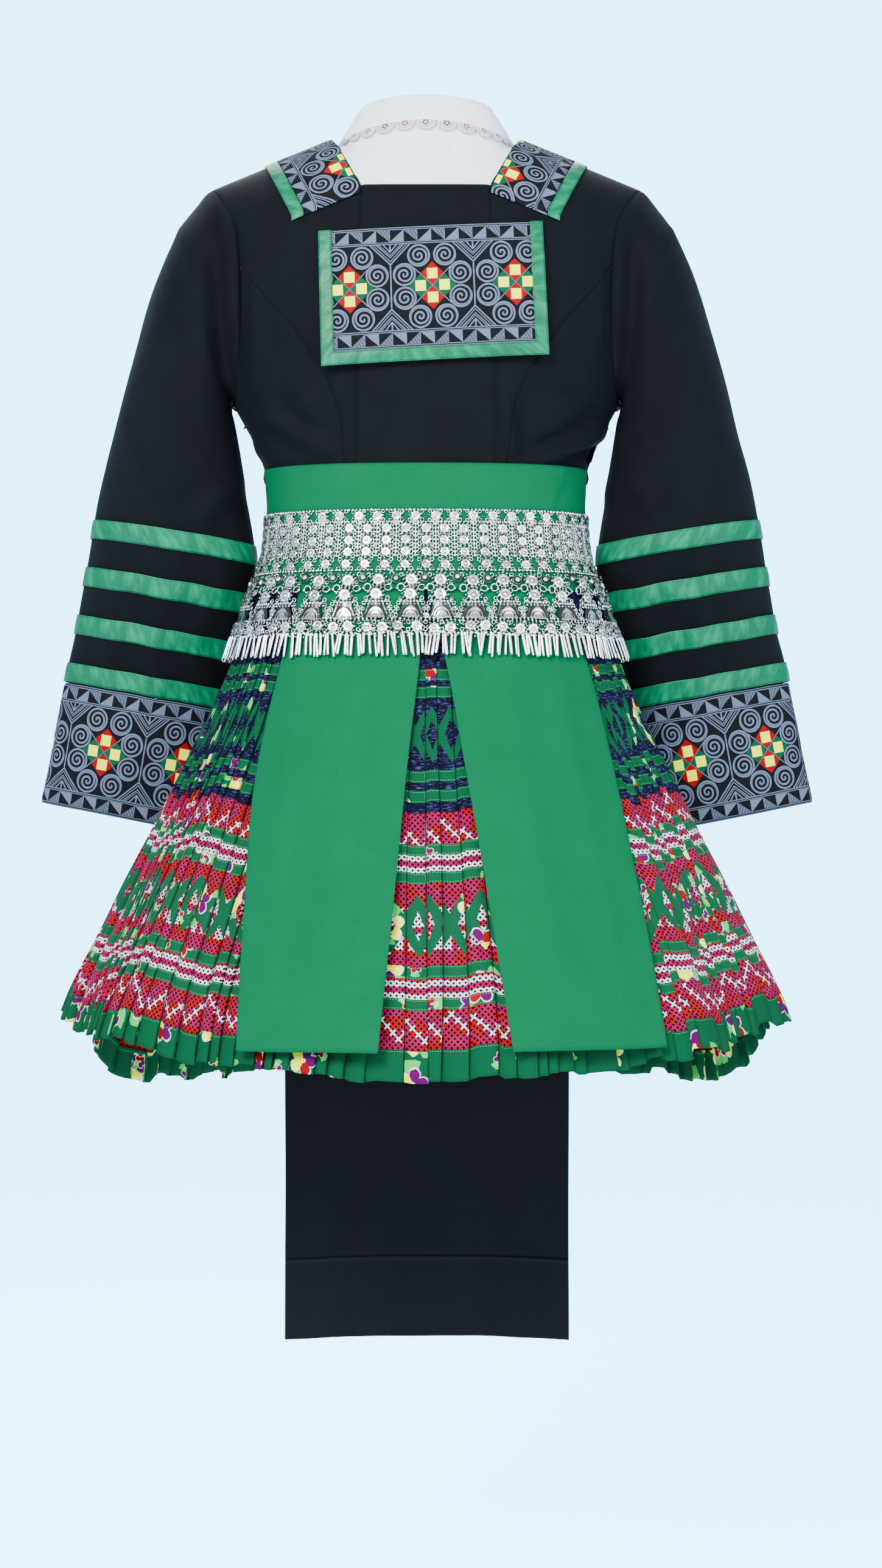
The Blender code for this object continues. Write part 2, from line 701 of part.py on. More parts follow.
def skirt_row(level):
    """One row of knife pleats: level 0 at the waist and 1 at the hem."""
    row = []
    for i in range(PLEAT_COUNT):
        for part, depth in ((0.0, 0.0), (PLEAT_FOLD, lerp(PLEAT_DEPTH_TOP, PLEAT_DEPTH_HEM, level))):
            turn = 360 * (i + part) / PLEAT_COUNT
            height = lerp(SKIRT_TOP - SEAM_GAP, hem_height(turn), level)
            row.append(on_lower(turn, height, -depth))
    return row


def make_skirt(plain, indigo, pattern, floral):
    rows = [ring(height, WAISTBAND_OUT) for height in (WAISTBAND_TOP, SKIRT_TOP)]
    cloth("skirt_waistband", rows, SKIRT_CLOTH, plain, closed=True)
    tiers = (
        ("skirt_indigo_tier", (0.0, 0.27, TIER_SEAM), indigo),
        ("skirt_stitched_tier", (TIER_SEAM + TIER_GAP, HEM_BAND_SEAM), pattern),
        ("skirt_hem_band", (HEM_BAND_SEAM + TIER_GAP, 1.0), floral),
    )
    for name, levels, material in tiers:
        cloth(name, [skirt_row(level) for level in levels], SKIRT_CLOTH, material, closed=True)


# Sash with its two tails.
def tail_rows(form, side):
    """Rows of a tail that lies on the crests of the skirt."""
    heights = np.linspace(SASH_BOTTOM - SEAM_GAP, form["height"][0], 7)
    rows = []
    for height in heights:
        near = smooth(form, "near", height)
        far = smooth(form, "far", height)
        row = []
        for i in range(7):
            x = lerp(near, far, i / 6)
            row.append(Vector((x, lower_depth(x, height, 1, TAIL_OUT), height)))
        rows.append(row)
    return rows if side > 0 else mirrored(rows)


def make_sash(material):
    """Snug over the jacket at the top, then out over the waistband."""
    rows = [ring(SASH_TOP, SASH_TOP_OUT), ring(-0.322, SASH_OUT)]
    rows += [ring(height, SASH_OUT) for height in (BELT_TOP, SKIRT_TOP, BELT_BOTTOM, SASH_BOTTOM)]
    cloth("sash", rows, SASH_CLOTH, material, closed=True)
    cloth("sash_tail_left", tail_rows(TAIL_LEFT, 1), SASH_CLOTH, material)
    cloth("sash_tail_right", tail_rows(TAIL_RIGHT, -1), SASH_CLOTH, material)


# Coin belt.
def make_belt(silver):
    rows = [ring(height, BELT_OUT) for height in (BELT_TOP, SKIRT_TOP, BELT_BOTTOM)]
    cloth("belt_band", rows, BELT_METAL, silver, closed=True)
    bell_levels = (
        (BELT_BOTTOM - SEAM_GAP, BELT_OUT + LAYER_GAP),
        (BELT_BOTTOM - BELL_STRIP, BELL_OUT),
        (BELL_BOTTOM, FRINGE_OUT),
    )
    hanging_ring("belt_bells", bell_levels, BELL_COUNT, 1, BELL_HALVES, silver)
    fringe_levels = (
        (FRINGE_TOP, FRINGE_OUT),
        (FRINGE_ROOT, FRINGE_OUT + LAYER_GAP),
        (FRINGE_END, FRINGE_OUT + 2 * LAYER_GAP),
    )
    hanging_ring("belt_fringe", fringe_levels, STRAND_GROUPS, STRANDS_PER_GROUP, STRAND_HALVES, silver)


def hanging_ring(name, levels, groups, per_group, halves, material):
    """A ring whose lower edge carries separate hanging pieces. levels are the height and distance from the
    form of its upper edge, its lower edge and the ends of the pieces. halves are the half widths of each
    piece at its root and its end, in pitches."""
    bm = bmesh.new()

    def corner(turn, level, depth):
        height, out = levels[level]
        return on_lower(turn, height, out - depth)

    def along(group, place, level, depth):
        """A point of one straight side of the ring. place runs from 0 to per_group."""
        start, end = (corner(360 * (group + k) / groups, level, depth) for k in (0, 1))
        return start.lerp(end, place / per_group)

    tops = [[bm.verts.new(corner(360 * g / groups, 0, d)) for d in (0, BELT_METAL)] for g in range(groups)]
    feet = [[bm.verts.new(corner(360 * g / groups, 1, d)) for d in (0, BELT_METAL)] for g in range(groups)]
    for g in range(groups):
        h = (g + 1) % groups
        lines = [feet[g]]
        ends = []
        for i in range(per_group):
            for side in (-1, 1):
                root = i + 0.5 + side * halves[0]
                tip = i + 0.5 + side * halves[1]
                lines.append([bm.verts.new(along(g, root, 1, d)) for d in (0, BELT_METAL)])
                ends.append([bm.verts.new(along(g, tip, 2, d)) for d in (0, BELT_METAL)])
        lines.append(feet[h])
        bm.faces.new((tops[g][0], tops[g][1], tops[h][1], tops[h][0]))
        bm.faces.new([tops[h][0]] + [line[0] for line in reversed(lines)] + [tops[g][0]])
        bm.faces.new([tops[g][1]] + [line[1] for line in lines] + [tops[h][1]])
        for k, (left, right) in enumerate(zip(lines, lines[1:])):
            if k % 2 == 0:
                bm.faces.new((left[0], right[0], right[1], left[1]))
                continue
            low, high = ends[k - 1], ends[k]
            bm.faces.new((left[0], right[0], high[0], low[0]))
            bm.faces.new((right[0], right[1], high[1], high[0]))
            bm.faces.new((right[1], left[1], low[1], high[1]))
            bm.faces.new((left[1], left[0], low[0], low[1]))
            bm.faces.new((low[0], high[0], high[1], low[1]))
    bmesh.ops.recalc_face_normals(bm, faces=bm.faces[:])
    mesh = bpy.data.meshes.new(name)
    bm.to_mesh(mesh)
    bm.free()
    add_object(name, mesh, material)


# Apron.
def apron_rows(heights):
    """Rows of the front panel, which follows the skirt to its hem and then hangs straight down."""
    rows = []
    for height in heights:
        widen = min(max((SASH_BOTTOM - height) / 0.30, 0.0), 1.0)
        half = lerp(APRON_HALF_TOP, APRON_HALF, widen)
        form_height = max(height, APRON_FREE)
        row = []
        for i in range(9):
            x = lerp(half, -half, i / 8)
            row.append(Vector((x, lower_depth(x, form_height, -1, TAIL_OUT), height)))
        rows.append(row)
    return rows


def make_apron(material):
    heights = (SASH_BOTTOM - SEAM_GAP, -0.475, -0.565, -0.665, -0.765, APRON_FREE, -0.960, APRON_SEAM)
    cloth("apron", apron_rows(heights), JACKET_CLOTH, material)
    heights = (APRON_SEAM - SEAM_GAP, (APRON_SEAM + APRON_BOTTOM) / 2, APRON_BOTTOM)
    cloth("apron_hem_band", apron_rows(heights), JACKET_CLOTH, material)


def main():
    clear_scene()
    collection = bpy.data.collections.new("festival dress")
    bpy.context.scene.collection.children.link(collection)
    suiting = make_material("black suiting", (0.012, 0.014, 0.018), 0.72)
    pattern = make_material("spiral pattern cloth", (0.20, 0.21, 0.25), 0.80)
    satin = make_material("green satin", (0.010, 0.330, 0.110), 0.35)
    white = make_material("white cotton", (0.82, 0.84, 0.90), 0.70)
    satin_white = make_material("white satin", (0.84, 0.86, 0.92), 0.40)
    lace = make_material("white lace", (0.86, 0.88, 0.92), 0.80)
    indigo = make_material("indigo cloth", (0.012, 0.012, 0.050), 0.80)
    stitched = make_material("pink cross stitch", (0.780, 0.020, 0.130), 0.80)
    floral = make_material("green flowered cotton", (0.010, 0.190, 0.050), 0.80)
    sash_green = make_material("green sash cloth", (0.018, 0.470, 0.180), 0.75)
    silver = make_material("silver", (0.80, 0.80, 0.80), 0.25, metallic=1.0)
    make_back_centre(suiting)
    make_back_mids(suiting)
    make_back_sides(suiting)
    make_fronts(suiting)
    make_shoulder_bands(pattern, satin)
    make_flap(pattern, satin)
    make_sleeves(suiting, pattern, satin)
    make_blouse(white, satin_white, lace)
    make_skirt(indigo, indigo, stitched, floral)
    make_sash(sash_green)
    make_belt(silver)
    make_apron(suiting)


main()
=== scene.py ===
# %% [markdown]
# # A festival dress, seen from behind
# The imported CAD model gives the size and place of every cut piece. This script keeps that frame and sews a
# finer surface over each solid: dense sheets of cloth with creases, a skirt of knife pleats, a belt of
# small silver parts. Everything is metres, +Z up. The back faces +Y and the wearer's left is +X.

# %% Load the frame
import math

import bpy
import numpy as np
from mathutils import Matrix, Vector


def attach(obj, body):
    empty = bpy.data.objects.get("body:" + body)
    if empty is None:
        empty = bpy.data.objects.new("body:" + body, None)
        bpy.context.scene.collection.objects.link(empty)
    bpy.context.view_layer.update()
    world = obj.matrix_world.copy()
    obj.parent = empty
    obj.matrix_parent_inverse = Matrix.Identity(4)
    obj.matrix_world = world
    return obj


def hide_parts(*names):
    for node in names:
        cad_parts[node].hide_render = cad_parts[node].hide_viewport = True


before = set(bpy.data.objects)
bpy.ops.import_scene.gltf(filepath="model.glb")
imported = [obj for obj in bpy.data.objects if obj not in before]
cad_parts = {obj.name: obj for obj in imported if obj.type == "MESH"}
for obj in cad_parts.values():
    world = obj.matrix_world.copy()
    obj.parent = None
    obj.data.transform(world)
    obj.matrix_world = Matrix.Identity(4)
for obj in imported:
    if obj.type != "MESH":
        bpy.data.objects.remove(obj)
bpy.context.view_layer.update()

bpy.context.scene.name = "festival dress"
for name in ("Cube", "Light", "Camera"):
    if name in bpy.data.objects:
        bpy.data.objects.remove(bpy.data.objects[name])

# %% [markdown]
# ## Camera and lights
# A long lens stands level with the waist, as in a catalogue photo. One wide soft light beside the camera
# models the folds, a weaker one fills the other side, and a third lights the front of the dress for the
# other views. The world adds an even, slightly blue light. The floor that makes the backdrop comes last.

# %% Camera and lights
CAMERA_AT = (-0.0137, 2.95, -0.589)
camera = bpy.data.objects.new("camera", bpy.data.cameras.new("camera"))
bpy.context.collection.objects.link(camera)
camera.location = CAMERA_AT
camera.rotation_euler = (math.radians(90), 0, math.radians(180))
camera.data.sensor_width = 36
camera.data.lens = 73.7
bpy.context.scene.camera = camera


def srgb(red, green, blue):
    """A linear colour from the 0 to 255 values that a picture shows."""
    values = np.array((red, green, blue)) / 255
    return tuple(np.where(values <= 0.04045, values / 12.92, ((values + 0.055) / 1.055) ** 2.4)) + (1.0,)


def area_light(name, at, towards, size, power, colour):
    light = bpy.data.objects.new(name, bpy.data.lights.new(name, "AREA"))
    bpy.context.collection.objects.link(light)
    light.location = at
    light.rotation_euler = (Vector(towards) - Vector(at)).to_track_quat("-Z", "Y").to_euler()
    light.data.shape = "SQUARE"
    light.data.size = size
    light.data.energy = power
    light.data.color = colour


area_light("key", (1.2, 3.1, 1.3), (0, 0, -0.5), 1.5, 330, (1.0, 0.985, 0.96))
area_light("fill", (-2.2, 2.4, 0.3), (0, 0, -0.6), 2.2, 120, (0.95, 0.98, 1.0))
area_light("front", (0.3, -2.0, 1.5), (0, 0, -0.4), 2.0, 90, (1.0, 1.0, 1.0))
world = bpy.data.worlds.new("studio")
bpy.context.scene.world = world
world.use_nodes = True
world.node_tree.nodes["Background"].inputs["Color"].default_value = (0.80, 0.90, 1.0, 1.0)
world.node_tree.nodes["Background"].inputs["Strength"].default_value = 0.8

# %% [markdown]
# ## A small language for shader nodes
# Patterned cloth is arithmetic on a place in the cloth, so a few lines wrap Math nodes in plain operators.
# Every pattern then reads as a formula, and each shared one becomes a node group that gives only values and
# colours.

# %% Shader values as arithmetic


class Val:
    """A number inside a node tree. Arithmetic on it adds Math nodes."""

    def __init__(self, tree, socket):
        self.tree, self.socket = tree, socket

    def math(self, kind, *others):
        node = self.tree.nodes.new("ShaderNodeMath")
        node.operation = kind
        for slot, value in zip(node.inputs, (self, *others)):
            if isinstance(value, Val):
                value.to(slot)
            else:
                slot.default_value = value
        return Val(self.tree, node.outputs[0])

    def to(self, slot):
        self.tree.links.new(self.socket, slot)

    def __add__(self, other):
        return self.math("ADD", other)

    def __mul__(self, other):
        return self.math("MULTIPLY", other)

    def __sub__(self, other):
        return self.math("SUBTRACT", other)

    def __truediv__(self, other):
        return self.math("DIVIDE", other)

    def __abs__(self):
        return self.math("ABSOLUTE")

    def __rsub__(self, other):
        return self * -1.0 + other

    __radd__, __rmul__ = __add__, __mul__

    def below(self, edge, soft=0.12):
        """1 where this is under the edge and 0 above it, with a soft change."""
        return ((edge - self) / soft + 0.5).clamped()

    def above(self, edge, soft=0.12):
        return ((self - edge) / soft + 0.5).clamped()

    def clamped(self):
        self.socket.node.use_clamp = True
        return self

    def between(self, low, high, soft=0.12):
        return self.above(low, soft) * self.below(high, soft)

    def least(self, other):
        return self.math("MINIMUM", other)

    def most(self, other):
        return self.math("MAXIMUM", other)

    def floor(self):
        return self.math("FLOOR")

    def fract(self):
        return self.math("FRACT")

    def sin(self):
        return self.math("SINE")


def blend(share, start, end):
    """A colour between two others."""
    tree = share.tree
    node = tree.nodes.new("ShaderNodeMix")
    node.data_type = "RGBA"
    for slot, value in ((node.inputs[0], share), (node.inputs[6], start), (node.inputs[7], end)):
        if isinstance(value, Val):
            value.to(slot)
        else:
            slot.default_value = value
    return Val(tree, node.outputs[2])


def seeded(kind, x, y, seed):
    """A texture node at a place, where the seed is the third coordinate."""
    tree = x.tree
    place = tree.nodes.new("ShaderNodeCombineXYZ")
    x.to(place.inputs[0])
    y.to(place.inputs[1])
    place.inputs[2].default_value = seed
    node = tree.nodes.new(kind)
    tree.links.new(place.outputs[0], node.inputs["Vector"])
    return node


def noise(x, y, pitch, detail=2.0, seed=0.0):
    """Smooth noise from about 0.25 to 0.75, with features of about this pitch in the units of x and y."""
    node = seeded("ShaderNodeTexNoise", x / pitch, y / pitch, seed)
    node.inputs["Scale"].default_value = 1.0
    node.inputs["Detail"].default_value = detail
    return Val(x.tree, node.outputs[0])


def dice(column, row, seed):
    """One random number from 0 to 1 for each column and row."""
    return Val(column.tree, seeded("ShaderNodeTexWhiteNoise", column, row, seed).outputs[0])


def new_group(name, outputs, build):
    """A node group of a place in the cloth, in millimetres. build gives one value for each named output."""
    group = bpy.data.node_groups.new(name, "ShaderNodeTree")
    for label in ("Across", "Down"):
        group.interface.new_socket(label, in_out="INPUT", socket_type="NodeSocketFloat")
    for label in outputs.split():
        kind = "NodeSocketColor" if label == "Colour" else "NodeSocketFloat"
        group.interface.new_socket(label, in_out="OUTPUT", socket_type=kind)
    start = group.nodes.new("NodeGroupInput")
    end = group.nodes.new("NodeGroupOutput")
    made = build(Val(group, start.outputs[0]), Val(group, start.outputs[1]))
    for slot, value in zip(end.inputs, made):
        value.to(slot)
    return group


def use_group(group, x, y):
    """The outputs of a group at a place."""
    node = x.tree.nodes.new("ShaderNodeGroup")
    node.node_tree = group
    x.to(node.inputs[0])
    y.to(node.inputs[1])
    return [Val(x.tree, socket) for socket in node.outputs]


def new_material(name, roughness, metallic=0.0, sheen=0.0, specular=0.04):
    """A material with its Principled BSDF, and the place in the cloth in millimetres."""
    material = bpy.data.materials.new(name)
    material.use_nodes = True
    shader = material.node_tree.nodes["Principled BSDF"]
    shader.inputs["Roughness"].default_value = roughness
    shader.inputs["Metallic"].default_value = metallic
    shader.inputs["Sheen Weight"].default_value = sheen
    shader.inputs["Specular IOR Level"].default_value = specular
    return material, shader, *read_map(material.node_tree, "Cloth")


def read_map(tree, name):
    """The two values of a UV map that is in metres, in millimetres."""
    place = tree.nodes.new("ShaderNodeUVMap")
    place.uv_map = name
    parts = tree.nodes.new("ShaderNodeSeparateXYZ")
    tree.links.new(place.outputs[0], parts.inputs[0])
    return [Val(tree, parts.outputs[i]) * 1000.0 for i in (0, 1)]


def set_bump(shader, height, depth, strength):
    """height from 0 to 1 raises the surface by up to depth, in metres."""
    tree = height.tree
    node = tree.nodes.new("ShaderNodeBump")
    node.inputs["Distance"].default_value = depth
    node.inputs["Strength"].default_value = strength
    height.to(node.inputs["Height"])
    tree.links.new(node.outputs[0], shader.inputs["Normal"])


def set_colour(shader, colour):
    colour.to(shader.inputs["Base Color"])


print("shader helpers ready")

# %% [markdown]
# ## Weaves and prints
# The groups here are the cloths that more than one piece is cut from. A weave is two sets of threads that
# pass over and under each other. The spiral cloth is a wax-resist print: one quarter of a medallion is
# drawn and folded over both centre lines, and four small squares are sewn on top. The flowered cotton
# scatters one flower in each cell, turned by a random angle, and leaves many cells plain. Cross stitch is a
# grid of small crosses in thick thread.

# %% Cloth patterns
BLACK, GREY = srgb(15, 16, 20), srgb(88, 98, 117)
RED, YELLOW, LEAF = srgb(136, 0, 10), srgb(236, 234, 30), srgb(13, 70, 47)


def build_weave(pitch):
    def build(x, y):
        column, row = x / pitch, y / pitch
        over = ((column.floor() + row.floor()) * 0.5).fract() * 2.0
        warp, weft = ((side.fract() * math.pi).sin() for side in (column, row))
        height = over * warp + (1.0 - over) * weft
        grain = noise(x, y, pitch * 4, 3.0)
        return (height * 0.7 + grain * 0.6, grain)

    return build


PLAIN_WEAVE = new_group("plain weave", "Height Grain", build_weave(0.42))
FINE_WEAVE = new_group("fine weave", "Height Grain", build_weave(0.30))


def folded(value, pitch):
    """Distance from the nearest whole number of pitches."""
    return abs(((value / pitch + 0.5).fract() - 0.5) * pitch)


def spiral(x, y, at, turn):
    """A spiral stroke inside a ring of radius 10.4 mm."""
    dx, dy = x - at[0], y - at[1]
    radius = (dx * dx + dy * dy).math("SQRT")
    angle = dy.math("ARCTAN2", dx) * (turn / math.tau)
    wave = abs((radius / 4.1 - angle + 0.30).fract() - 0.5)
    return (wave.below(0.215, 0.09) * radius.below(8.4, 0.3)).most(radius.between(8.7, 10.4, 0.25))


HALF_TILE, PRINT_EDGE, SQUARE, PATCH = 37.5, 38.6, 12.5, 10.8


def build_spiral_cloth(x, y):
    rough = noise(x, y, 3.0) - 0.5
    wx, wy = x + rough * 0.5, y + rough * 0.5
    a, b = folded(wx, 2 * HALF_TILE), abs(wy)
    light = spiral(a, b, (11.8, 27.6), 1.0).most(spiral(a, b, (25.2, 10.7), -1.0))
    reach = a + b
    light = light.most(abs(a - b).below(0.6) * reach.between(21, 33))
    light = light.most((HALF_TILE - a).below(0.65) * b.below(20.0))
    inside = (b - 20.0 - (HALF_TILE - a) * 1.03) * 0.697
    triangle = inside.between(-0.6, 0.7).most(inside.between(1.7, 2.5)).most(inside.between(5.6, 6.3))
    along = (a * 0.70 + b * 0.72) / 3.4
    dots = abs(along.fract() - 0.5).below(0.27, 0.10) * inside.between(3.1, 4.9)
    leaf = (HALF_TILE - a).below(0.7).most(abs((HALF_TILE - a) * 1.2 - (b - 31.5)).below(0.9))
    leaf = leaf * inside.between(7.6, 14)
    light = light * inside.below(-0.8).most(b.above(PRINT_EDGE))
    light = light + triangle.most(dots).most(leaf) * b.below(PRINT_EDGE)
    border = (b - 41.0) / 11.0
    square = (wx / SQUARE).fract()
    odd = (wx / (2 * SQUARE)).fract().above(0.5, 0.01)
    first = (square + border).below(1.0, 0.04) * (1.0 - odd)
    hatch = 0.62 + 0.30 * (wx * 2.1 + wy * 1.3).sin()
    second = (border - square).above(0.0, 0.04) * odd * hatch
    frame_line = abs(square - 0.5).above(0.478, 0.02)
    row = (first + second).most(frame_line) * border.between(0.03, 0.97, 0.02)
    lines = b.between(PRINT_EDGE, 39.5)
    for low, high in ((40.3, 41.0), (52.0, 52.8), (53.6, 54.5)):
        lines = lines.most(b.between(low, high))
    light = light * b.below(PRINT_EDGE) + row.most(lines) * b.above(PRINT_EDGE)
    wear = noise(x, y, 0.9, 3.0)
    colour = blend(light * (0.80 + wear * 0.36), BLACK, GREY)
    red = (a + abs(b - PATCH)).below(PATCH, 0.3)
    green = (abs(a - PATCH) + b).below(PATCH, 0.3)
    yellow = a.most(abs(b - PATCH)).below(4.75, 0.3).most(abs(a - PATCH).most(b).below(4.75, 0.3))
    patch = red.most(green)
    shade = 0.85 + wear * 0.3
    for share, tone in ((red, RED), (green, LEAF), (yellow, YELLOW)):
        colour = blend(share * shade.least(1.0), colour, tone)
    colour = blend(abs(a - b).below(0.34, 0.2) * reach.below(21.5, 0.3) * 0.9, colour, GREY)
    edge = patch * (a + b).above(20.4, 0.4)
    height = patch * 0.6 + yellow * 0.35 + edge * 0.2 + light * 0.1
    return colour, height


SPIRAL_CLOTH = new_group("spiral cloth", "Colour Height", build_spiral_cloth)


def flower(colour, x, y, pitch, size, share, tones, seed):
    """One flower in some cells of a grid, over the colour given. The five petals have their own tones."""
    shifted = y + dice((x / pitch).floor(), x * 0.0, seed) * pitch
    column, row = (x / pitch).floor(), (shifted / pitch).floor()
    pick = dice(column, row, seed + 1.0)
    lean = dice(column, row, seed + 2.0)
    dx = ((x / pitch).fract() - 0.5 + (lean - 0.5) * 0.2) * pitch
    dy = ((shifted / pitch).fract() - 0.5 + (pick - 0.5) * 0.2) * pitch
    ripple = noise(x, y, size * 0.35, 2.0) - 0.5
    radius = (dx * dx + dy * dy).math("SQRT") / size + ripple * 0.22
    turn = (dy.math("ARCTAN2", dx) / math.tau + lean + 2.0) * 5.0
    petal = turn.fract() - 0.5
    edge = 1.0 - petal * petal * 1.7
    number = ((turn / 5.0).fract() * 5.0).floor()
    shown = pick.below(share, 0.001)
    leaf_angle = abs((turn / 5.0 * 2.0).fract() - 0.5)
    leaf = leaf_angle.below(0.16, 0.02) * radius.between(0.8, 1.55, 0.05) * shown
    colour = blend(leaf, colour, srgb(60, 172, 74))
    colour = blend((radius - edge).below(0.10, 0.05) * shown, colour, srgb(214, 216, 206))
    inner = (radius - edge).below(0.0, 0.05) * shown
    tone = blend(number.above(0.5, 0.01), tones[0], tones[1])
    tone = blend(number.above(1.5, 0.01), tone, tones[2])
    tone = blend(number.above(3.5, 0.01), tone, tones[0])
    veins = abs((turn * 4.0).fract() - 0.5).below(0.12, 0.05) * radius.between(0.18, 0.62, 0.1)
    tone = blend(veins * 0.75, tone, srgb(60, 20, 10))
    colour = blend(inner, colour, tone)
    heart = radius.between(0.07, 0.14, 0.04) * shown
    return blend(heart, colour, srgb(220, 214, 200))


def build_flowered(x, y):
    grain = noise(x, y, 1.1, 3.0)
    ground = blend(grain, srgb(4, 50, 30), srgb(12, 82, 50))
    purple, pale = srgb(78, 0, 76), srgb(110, 205, 60)
    colour = flower(ground, x, y, 37.0, 12.6, 0.29, (YELLOW, RED, purple), 3.0)
    colour = flower(colour, x + 13.0, y + 9.0, 25.0, 5.6, 0.10, (purple, pale, RED), 7.0)
    return (colour,)


FLOWERED = new_group("flowered cotton", "Colour", build_flowered)
STITCH, STITCH_TOP = 5.0, 2.6


def build_cross_stitch(x, y):
    """Thread is 1 on the crosses and 0 in the gaps between them. Column and Row number the crosses."""
    wobble = (noise(x, y, 5.0) - 0.5) * 1.1
    u, v = (x + wobble) / STITCH, (y - wobble - STITCH_TOP) / STITCH
    a, b = abs(u.fract() - 0.5), abs(v.fract() - 0.5)
    arm = abs(a - b)
    thread = arm.below(0.235, 0.08)
    strand = (arm * (math.pi / 0.26)).math("COSINE") * 0.5 + 0.5
    return thread, u.floor(), v.floor(), strand * thread


CROSS_STITCH = new_group("cross stitch", "Thread Column Row Height", build_cross_stitch)


def strip(x, y, top, bottom):
    """Masks of a strip sewn between two places down the cloth, and of the pale stitches on its edges."""
    inside = y.between(top, bottom, 0.25)
    dash = (x / 2.3).fract().below(0.55, 0.1)
    seam = abs(y - top - 1.2).below(0.28, 0.2).most(abs(y - bottom + 1.2).below(0.28, 0.2))
    return inside, seam * dash


def lattice(x, y, top, height, period, width):
    """A band of two zigzags that cross, as leaves of cloth."""
    rise = (y - top) / height
    across = abs((x / period).fract() * 2.0 - 1.0)
    first, second = abs(rise - across), abs(rise - 1.0 + across)
    belly = 0.62 + 0.5 * (1.0 - abs(rise * 2.0 - 1.0))
    mask = (first * height).below(belly * width, 0.3).most((second * height).below(belly * width, 0.3))
    return mask * rise.between(-0.10, 1.10, 0.01)


print("node groups:", len(bpy.data.node_groups))

# %% [markdown]
# ## The plain cloths
# Black suiting is a smooth twill with a faint blue sheen. The ribbons are satin, which is smooth along its
# length and gathers small puckers at the stitches; its highlights are painted into its colour as pale green
# patches. The sash is a matt plain weave that looks a little grainy. The collar is white cotton and the yoke
# below it white satin.

# %% Materials of plain cloth


def make_suiting():
    material, shader, x, y = new_material("black suiting", 0.66, sheen=0.012, specular=0.07)
    shader.inputs["Sheen Tint"].default_value = (0.55, 0.66, 0.85, 1.0)
    shader.inputs["Sheen Roughness"].default_value = 0.45
    height, grain = use_group(FINE_WEAVE, x, y)
    patch = noise(x, y, 34.0, 2.0)
    set_colour(shader, blend(grain * 0.6 + patch * 0.5, srgb(0, 1, 3), srgb(9, 12, 18)))
    set_bump(shader, height, 0.00012, 0.7)
    return material


def make_satin():
    material, shader, x, y = new_material("green satin", 0.32, specular=0.10)
    shader.inputs["Anisotropic"].default_value = 0.5
    streak = noise(x, y * 0.1, 0.5, 3.0, 4.0)
    cloud = noise(x, y, 14.0, 2.0)
    base = blend(cloud * 0.6 + streak * 0.4, srgb(0, 74, 45), srgb(0, 102, 70))
    margin, _ = read_map(x.tree, "Margin")
    edge = margin.between(0.5, 1.5, 0.3)
    stitch = (x / 2.1).fract().below(0.45, 0.1) * edge
    pucker = noise(x, y * 0.35, 3.4, 2.0, 9.0)
    # Painted highlight: pale green patches in the colour stand for the satin's sheen.
    painted_glint = noise(x + y * 0.5, y * 0.45, 9.0, 2.5, 6.0).above(0.55, 0.26)
    base = blend(painted_glint * 0.60, base, srgb(0, 134, 94))
    set_colour(shader, blend(stitch * 0.75, base, srgb(2, 50, 30)))
    set_bump(shader, pucker * 0.9 + streak * 0.12 - stitch * 0.4, 0.0006, 0.8)
    return material


def make_plain(name, dark, light, roughness, weave, sheen, depth):
    material, shader, x, y = new_material(name, roughness, sheen=sheen)
    height, grain = use_group(weave, x, y)
    cloud = noise(x, y, 45.0, 2.0)
    set_colour(shader, blend(grain * 0.75 + cloud * 0.3, dark, light))
    set_bump(shader, height, depth, 0.8)
    return material


def make_pattern_cloth():
    material, shader, x, y = new_material("spiral cloth", 0.74)
    colour, height = use_group(SPIRAL_CLOTH, x, y)
    weave, _ = use_group(FINE_WEAVE, x, y)
    set_colour(shader, colour)
    set_bump(shader, height + weave * 0.12, 0.00045, 0.9)
    return material


suiting = make_suiting()
satin = make_satin()
spiral_cloth = make_pattern_cloth()
sash_cloth = make_plain("sash cloth", srgb(0, 76, 43), srgb(0, 98, 61), 0.85, PLAIN_WEAVE, 0.0, 0.00020)
white_cotton = make_plain("white cotton", srgb(222, 228, 240), srgb(246, 249, 252), 0.72, FINE_WEAVE, 0.1,
                          0.00010)
white_satin = make_plain("white satin", srgb(205, 210, 232), srgb(240, 242, 252), 0.36, FINE_WEAVE, 0.1,
                         0.00006)
lining = make_plain("lining", srgb(5, 6, 9), srgb(16, 18, 24), 0.55, FINE_WEAVE, 0.1, 0.00008)
print("plain cloths made:", len(bpy.data.materials))

# %% [markdown]
# ## The skirt's three cloths
# The upper tier is dark indigo cotton with strips and a lattice of green flowered cotton sewn on. The lower
# tier is worked all over in cross stitch, bright pink with red and white, with more green strips and a
# lattice. The hem is a band of the flowered cotton. Heights are millimetres of cloth below the waist.

# %% Materials of the skirt


def add_strips(x, y, colour, flowers, strips, height):
    """Sews green strips on a colour, with pale stitches along their edges."""
    for top, bottom in strips:
        inside, stitches = strip(x, y, top, bottom)
        colour = blend(inside, colour, flowers)
        colour = blend(stitches * 0.85, colour, srgb(50, 150, 80))
        height = height.most(inside * 0.8 - stitches * 0.3)
    return colour, height


